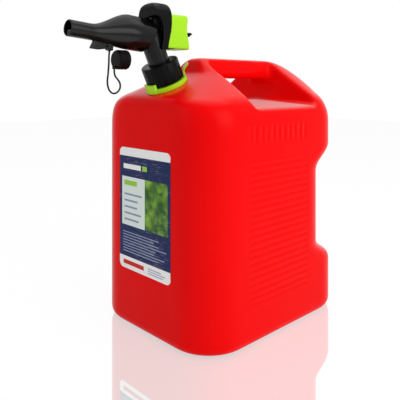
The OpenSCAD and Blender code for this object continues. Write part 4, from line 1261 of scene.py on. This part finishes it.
def leaf_field():
    """Overlapping rounds in three greens, from a cell pattern under soft patches."""
    cells = film_tree.nodes.new("ShaderNodeTexVoronoi")
    cells.inputs["Scale"].default_value = 62.0
    film_tree.links.new(film_place.outputs["Object"], cells.inputs["Vector"])
    dark = blend_colours(film_tree, cells.outputs["Distance"], LEAF, DEEP_GREEN)
    patches = node(film_tree, "ShaderNodeMapRange", From_Min=0.4, From_Max=0.62)
    film_tree.links.new(object_noise(film_tree, 60.0, 3.0), patches.inputs["Value"])
    return blend_colours(film_tree, patches.outputs["Result"], dark, GREEN)


PRINT = [
    ("panel", WHITE, 0.00, 1.00, 0.93, 1.00, {}),
    ("panel", PALE, 0.05, 0.95, 0.36, 0.76, {}),
    ("leaves", None, 0.52, 0.95, 0.36, 0.76, {}),
    ("bars", SLATE, 0.10, 0.46, 0.40, 0.66, {"Rows": 5.0, "Ink": 0.3}),
    ("panel", LEAF, 0.10, 0.36, 0.69, 0.73, {}),
    ("panel", WHITE, 0.08, 0.44, 0.825, 0.865, {}),
    ("panel", LEAF, 0.47, 0.56, 0.825, 0.865, {}),
    ("bars", SLATE, 0.07, 0.93, 0.14, 0.32, {"Rows": 8.0, "Ink": 0.35}),
    ("panel", WHITE, 0.00, 1.00, 0.00, 0.10, {}),
    ("panel", RED, 0.08, 0.50, 0.035, 0.07, {}),
    ("bars", SLATE, 0.58, 0.92, 0.025, 0.08, {"Rows": 3.0, "Ink": 0.4}),
]
film_colour = NAVY
for kind, ink, left, right, low, high, more in PRINT:
    mask = print_mask(bars_group if kind == "bars" else panel_group, left, right, low, high, **more)
    film_colour = blend_colours(film_tree, mask, film_colour, leaf_field() if kind == "leaves" else ink)
film_scuffs = group_node(film_tree, scuff_group, Scale=90.0, Amount=0.12)
scuffed_film = blend_colours(film_tree, film_scuffs.outputs["Mask"], film_colour, WHITE)
film_tree.links.new(scuffed_film, film_shader.inputs["Base Color"])
film_grain = group_node(film_tree, grain_group, Scale=1600.0)
film_tone = maths(film_tree, "ADD", film_grain.outputs["Gloss"], 0.3)
film_tree.links.new(film_tone, film_shader.inputs["Roughness"])
film_bump = node(film_tree, "ShaderNodeBump", Strength=0.04, Distance=0.001)
film_tree.links.new(film_grain.outputs["Height"], film_bump.inputs["Height"])
film_tree.links.new(film_bump.outputs["Normal"], film_shader.inputs["Normal"])
film_shader.inputs["Specular IOR Level"].default_value = 0.12
print("Print has", len(PRINT), "fields")

# %% [markdown]
# ## Laying the finishes on
# Every solid names the material slot it belongs to in its record, so one table from slot to finish covers
# the solids that stay and the pieces that replace the others.

# %% Finish of every piece
FINISHES = {"tank_red": tank_red, "label_film": label_film, "lime_plastic": lime, "black_plastic": black,
    "grey_plastic": grey, "white_plastic": acetal, "seal_rubber": rubber, "spring_steel": steel}
slot_of = {part["node"]: part["material_slot"] for part in frame["record"]["subparts"]}


def finish_with(piece, slot):
    piece.data.materials.clear()
    piece.data.materials.append(FINISHES[slot])


for name, solid in frame["nodes"].items():
    finish_with(solid, slot_of[name])
new_pieces = [tank, neck, lock_ring, collar, elbow, barrel, hood, button, catch, cap, cap_strap]
for piece in new_pieces:
    finish_with(piece, piece["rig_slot"])
for piece in (hood, collar, catch, cap):
    piece.data.materials[0] = soft_black
# The faces of the hollow's floor take the red copy with the painted sheen.
tank.data.materials.append(painted_sheen_red)
for face in tank.data.polygons:
    face.material_index = int(on_hollow_floor(face))
print(len(new_pieces), "new pieces and", len(frame["nodes"]), "solids have a finish")

# %% [markdown]
# ## Stage and light
# The can stands on a pale, faintly glossy floor in soft studio light. A wide lamp from the right lights
# the side, a weaker one the front, and a third from above draws the pale sheen on the roof. The white
# around it comes from the world as the camera and mirrors see it, and not from more light on the can.

# %% Floor
FLOOR_SIZE = 8.0
FLOOR_SHADE, FLOOR_GLOW = 0.1, 0.92
SHEEN = 0.35

fresh()
bpy.ops.mesh.primitive_plane_add(size=FLOOR_SIZE, location=(0, 0, -0.0005))
floor = bpy.context.object
floor.name = "floor"
floor_material = bpy.data.materials.new("floor_finish")
floor_material.use_nodes = True
floor_tree = floor_material.node_tree
floor_tree.nodes.clear()
floor_out = floor_tree.nodes.new("ShaderNodeOutputMaterial")
bounce = node(floor_tree, "ShaderNodeBsdfDiffuse", Color=(0.9, 0.9, 0.9, 1.0))
shaded = node(floor_tree, "ShaderNodeBsdfDiffuse", Color=(FLOOR_SHADE, FLOOR_SHADE, FLOOR_SHADE, 1.0))
white_glow = node(floor_tree, "ShaderNodeEmission", Color=(1.0, 1.0, 1.0, 1.0), Strength=FLOOR_GLOW)
mirror = node(floor_tree, "ShaderNodeBsdfGlossy", Color=(1.0, 1.0, 1.0, 1.0), Roughness=0.03)
seen = floor_tree.nodes.new("ShaderNodeLightPath")
camera_or_mirror = maths(floor_tree, "MAXIMUM", seen.outputs["Is Camera Ray"],
    maths(floor_tree, "MAXIMUM", seen.outputs["Is Glossy Ray"], seen.outputs["Is Transmission Ray"]))
glowing = floor_tree.nodes.new("ShaderNodeAddShader")
polished = node(floor_tree, "ShaderNodeMixShader", Fac=SHEEN)
pale_floor = floor_tree.nodes.new("ShaderNodeMixShader")
floor_tree.links.new(shaded.outputs[0], glowing.inputs[0])
floor_tree.links.new(white_glow.outputs[0], glowing.inputs[1])
floor_tree.links.new(glowing.outputs[0], polished.inputs[1])
floor_tree.links.new(mirror.outputs[0], polished.inputs[2])
floor_tree.links.new(camera_or_mirror, pale_floor.inputs[0])
floor_tree.links.new(bounce.outputs[0], pale_floor.inputs[1])
floor_tree.links.new(polished.outputs[0], pale_floor.inputs[2])
floor_tree.links.new(pale_floor.outputs[0], floor_out.inputs[0])
floor.data.materials.append(floor_material)
print("Floor is", FLOOR_SIZE, "m wide")

# %% World and lamps
AMBIENT = 0.42
world = bpy.data.worlds.new("studio")
bpy.context.scene.world = world
world.use_nodes = True
world_tree = world.node_tree
world_tree.nodes.clear()
world_out = world_tree.nodes.new("ShaderNodeOutputWorld")
soft_light = node(world_tree, "ShaderNodeBackground", Color=(1.0, 1.0, 1.0, 1.0), Strength=AMBIENT)
backdrop = node(world_tree, "ShaderNodeBackground", Color=(1.0, 1.0, 1.0, 1.0), Strength=1.0)
world_seen = world_tree.nodes.new("ShaderNodeLightPath")
world_mix = world_tree.nodes.new("ShaderNodeMixShader")
mirrored = maths(world_tree, "MAXIMUM", world_seen.outputs["Is Glossy Ray"],
    world_seen.outputs["Is Transmission Ray"])
shows = maths(world_tree, "MAXIMUM", world_seen.outputs["Is Camera Ray"], mirrored)
world_tree.links.new(shows, world_mix.inputs[0])
world_tree.links.new(soft_light.outputs[0], world_mix.inputs[1])
world_tree.links.new(backdrop.outputs[0], world_mix.inputs[2])
world_tree.links.new(world_mix.outputs[0], world_out.inputs[0])

LOOK_AT = Vector((0, 0, 0.2))
LAMPS = [("side_lamp", (1.6, 0.1, 0.9), 1.4, 18), ("front_lamp", (-0.6, -1.7, 0.8), 1.2, 4),
    ("top_lamp", (0.2, 0.1, 1.9), 1.6, 11)]
for name, place, size, power in LAMPS:
    lamp_data = bpy.data.lights.new(name, "AREA")
    lamp_data.size = size
    lamp_data.energy = power
    lamp = bpy.data.objects.new(name, lamp_data)
    lamp.location = place
    lamp.rotation_euler = (LOOK_AT - Vector(place)).to_track_quat("-Z", "Y").to_euler()
    bpy.context.scene.collection.objects.link(lamp)
bpy.context.scene.view_settings.view_transform = "Standard"
print("Lamps:", [lamp[0] for lamp in LAMPS])
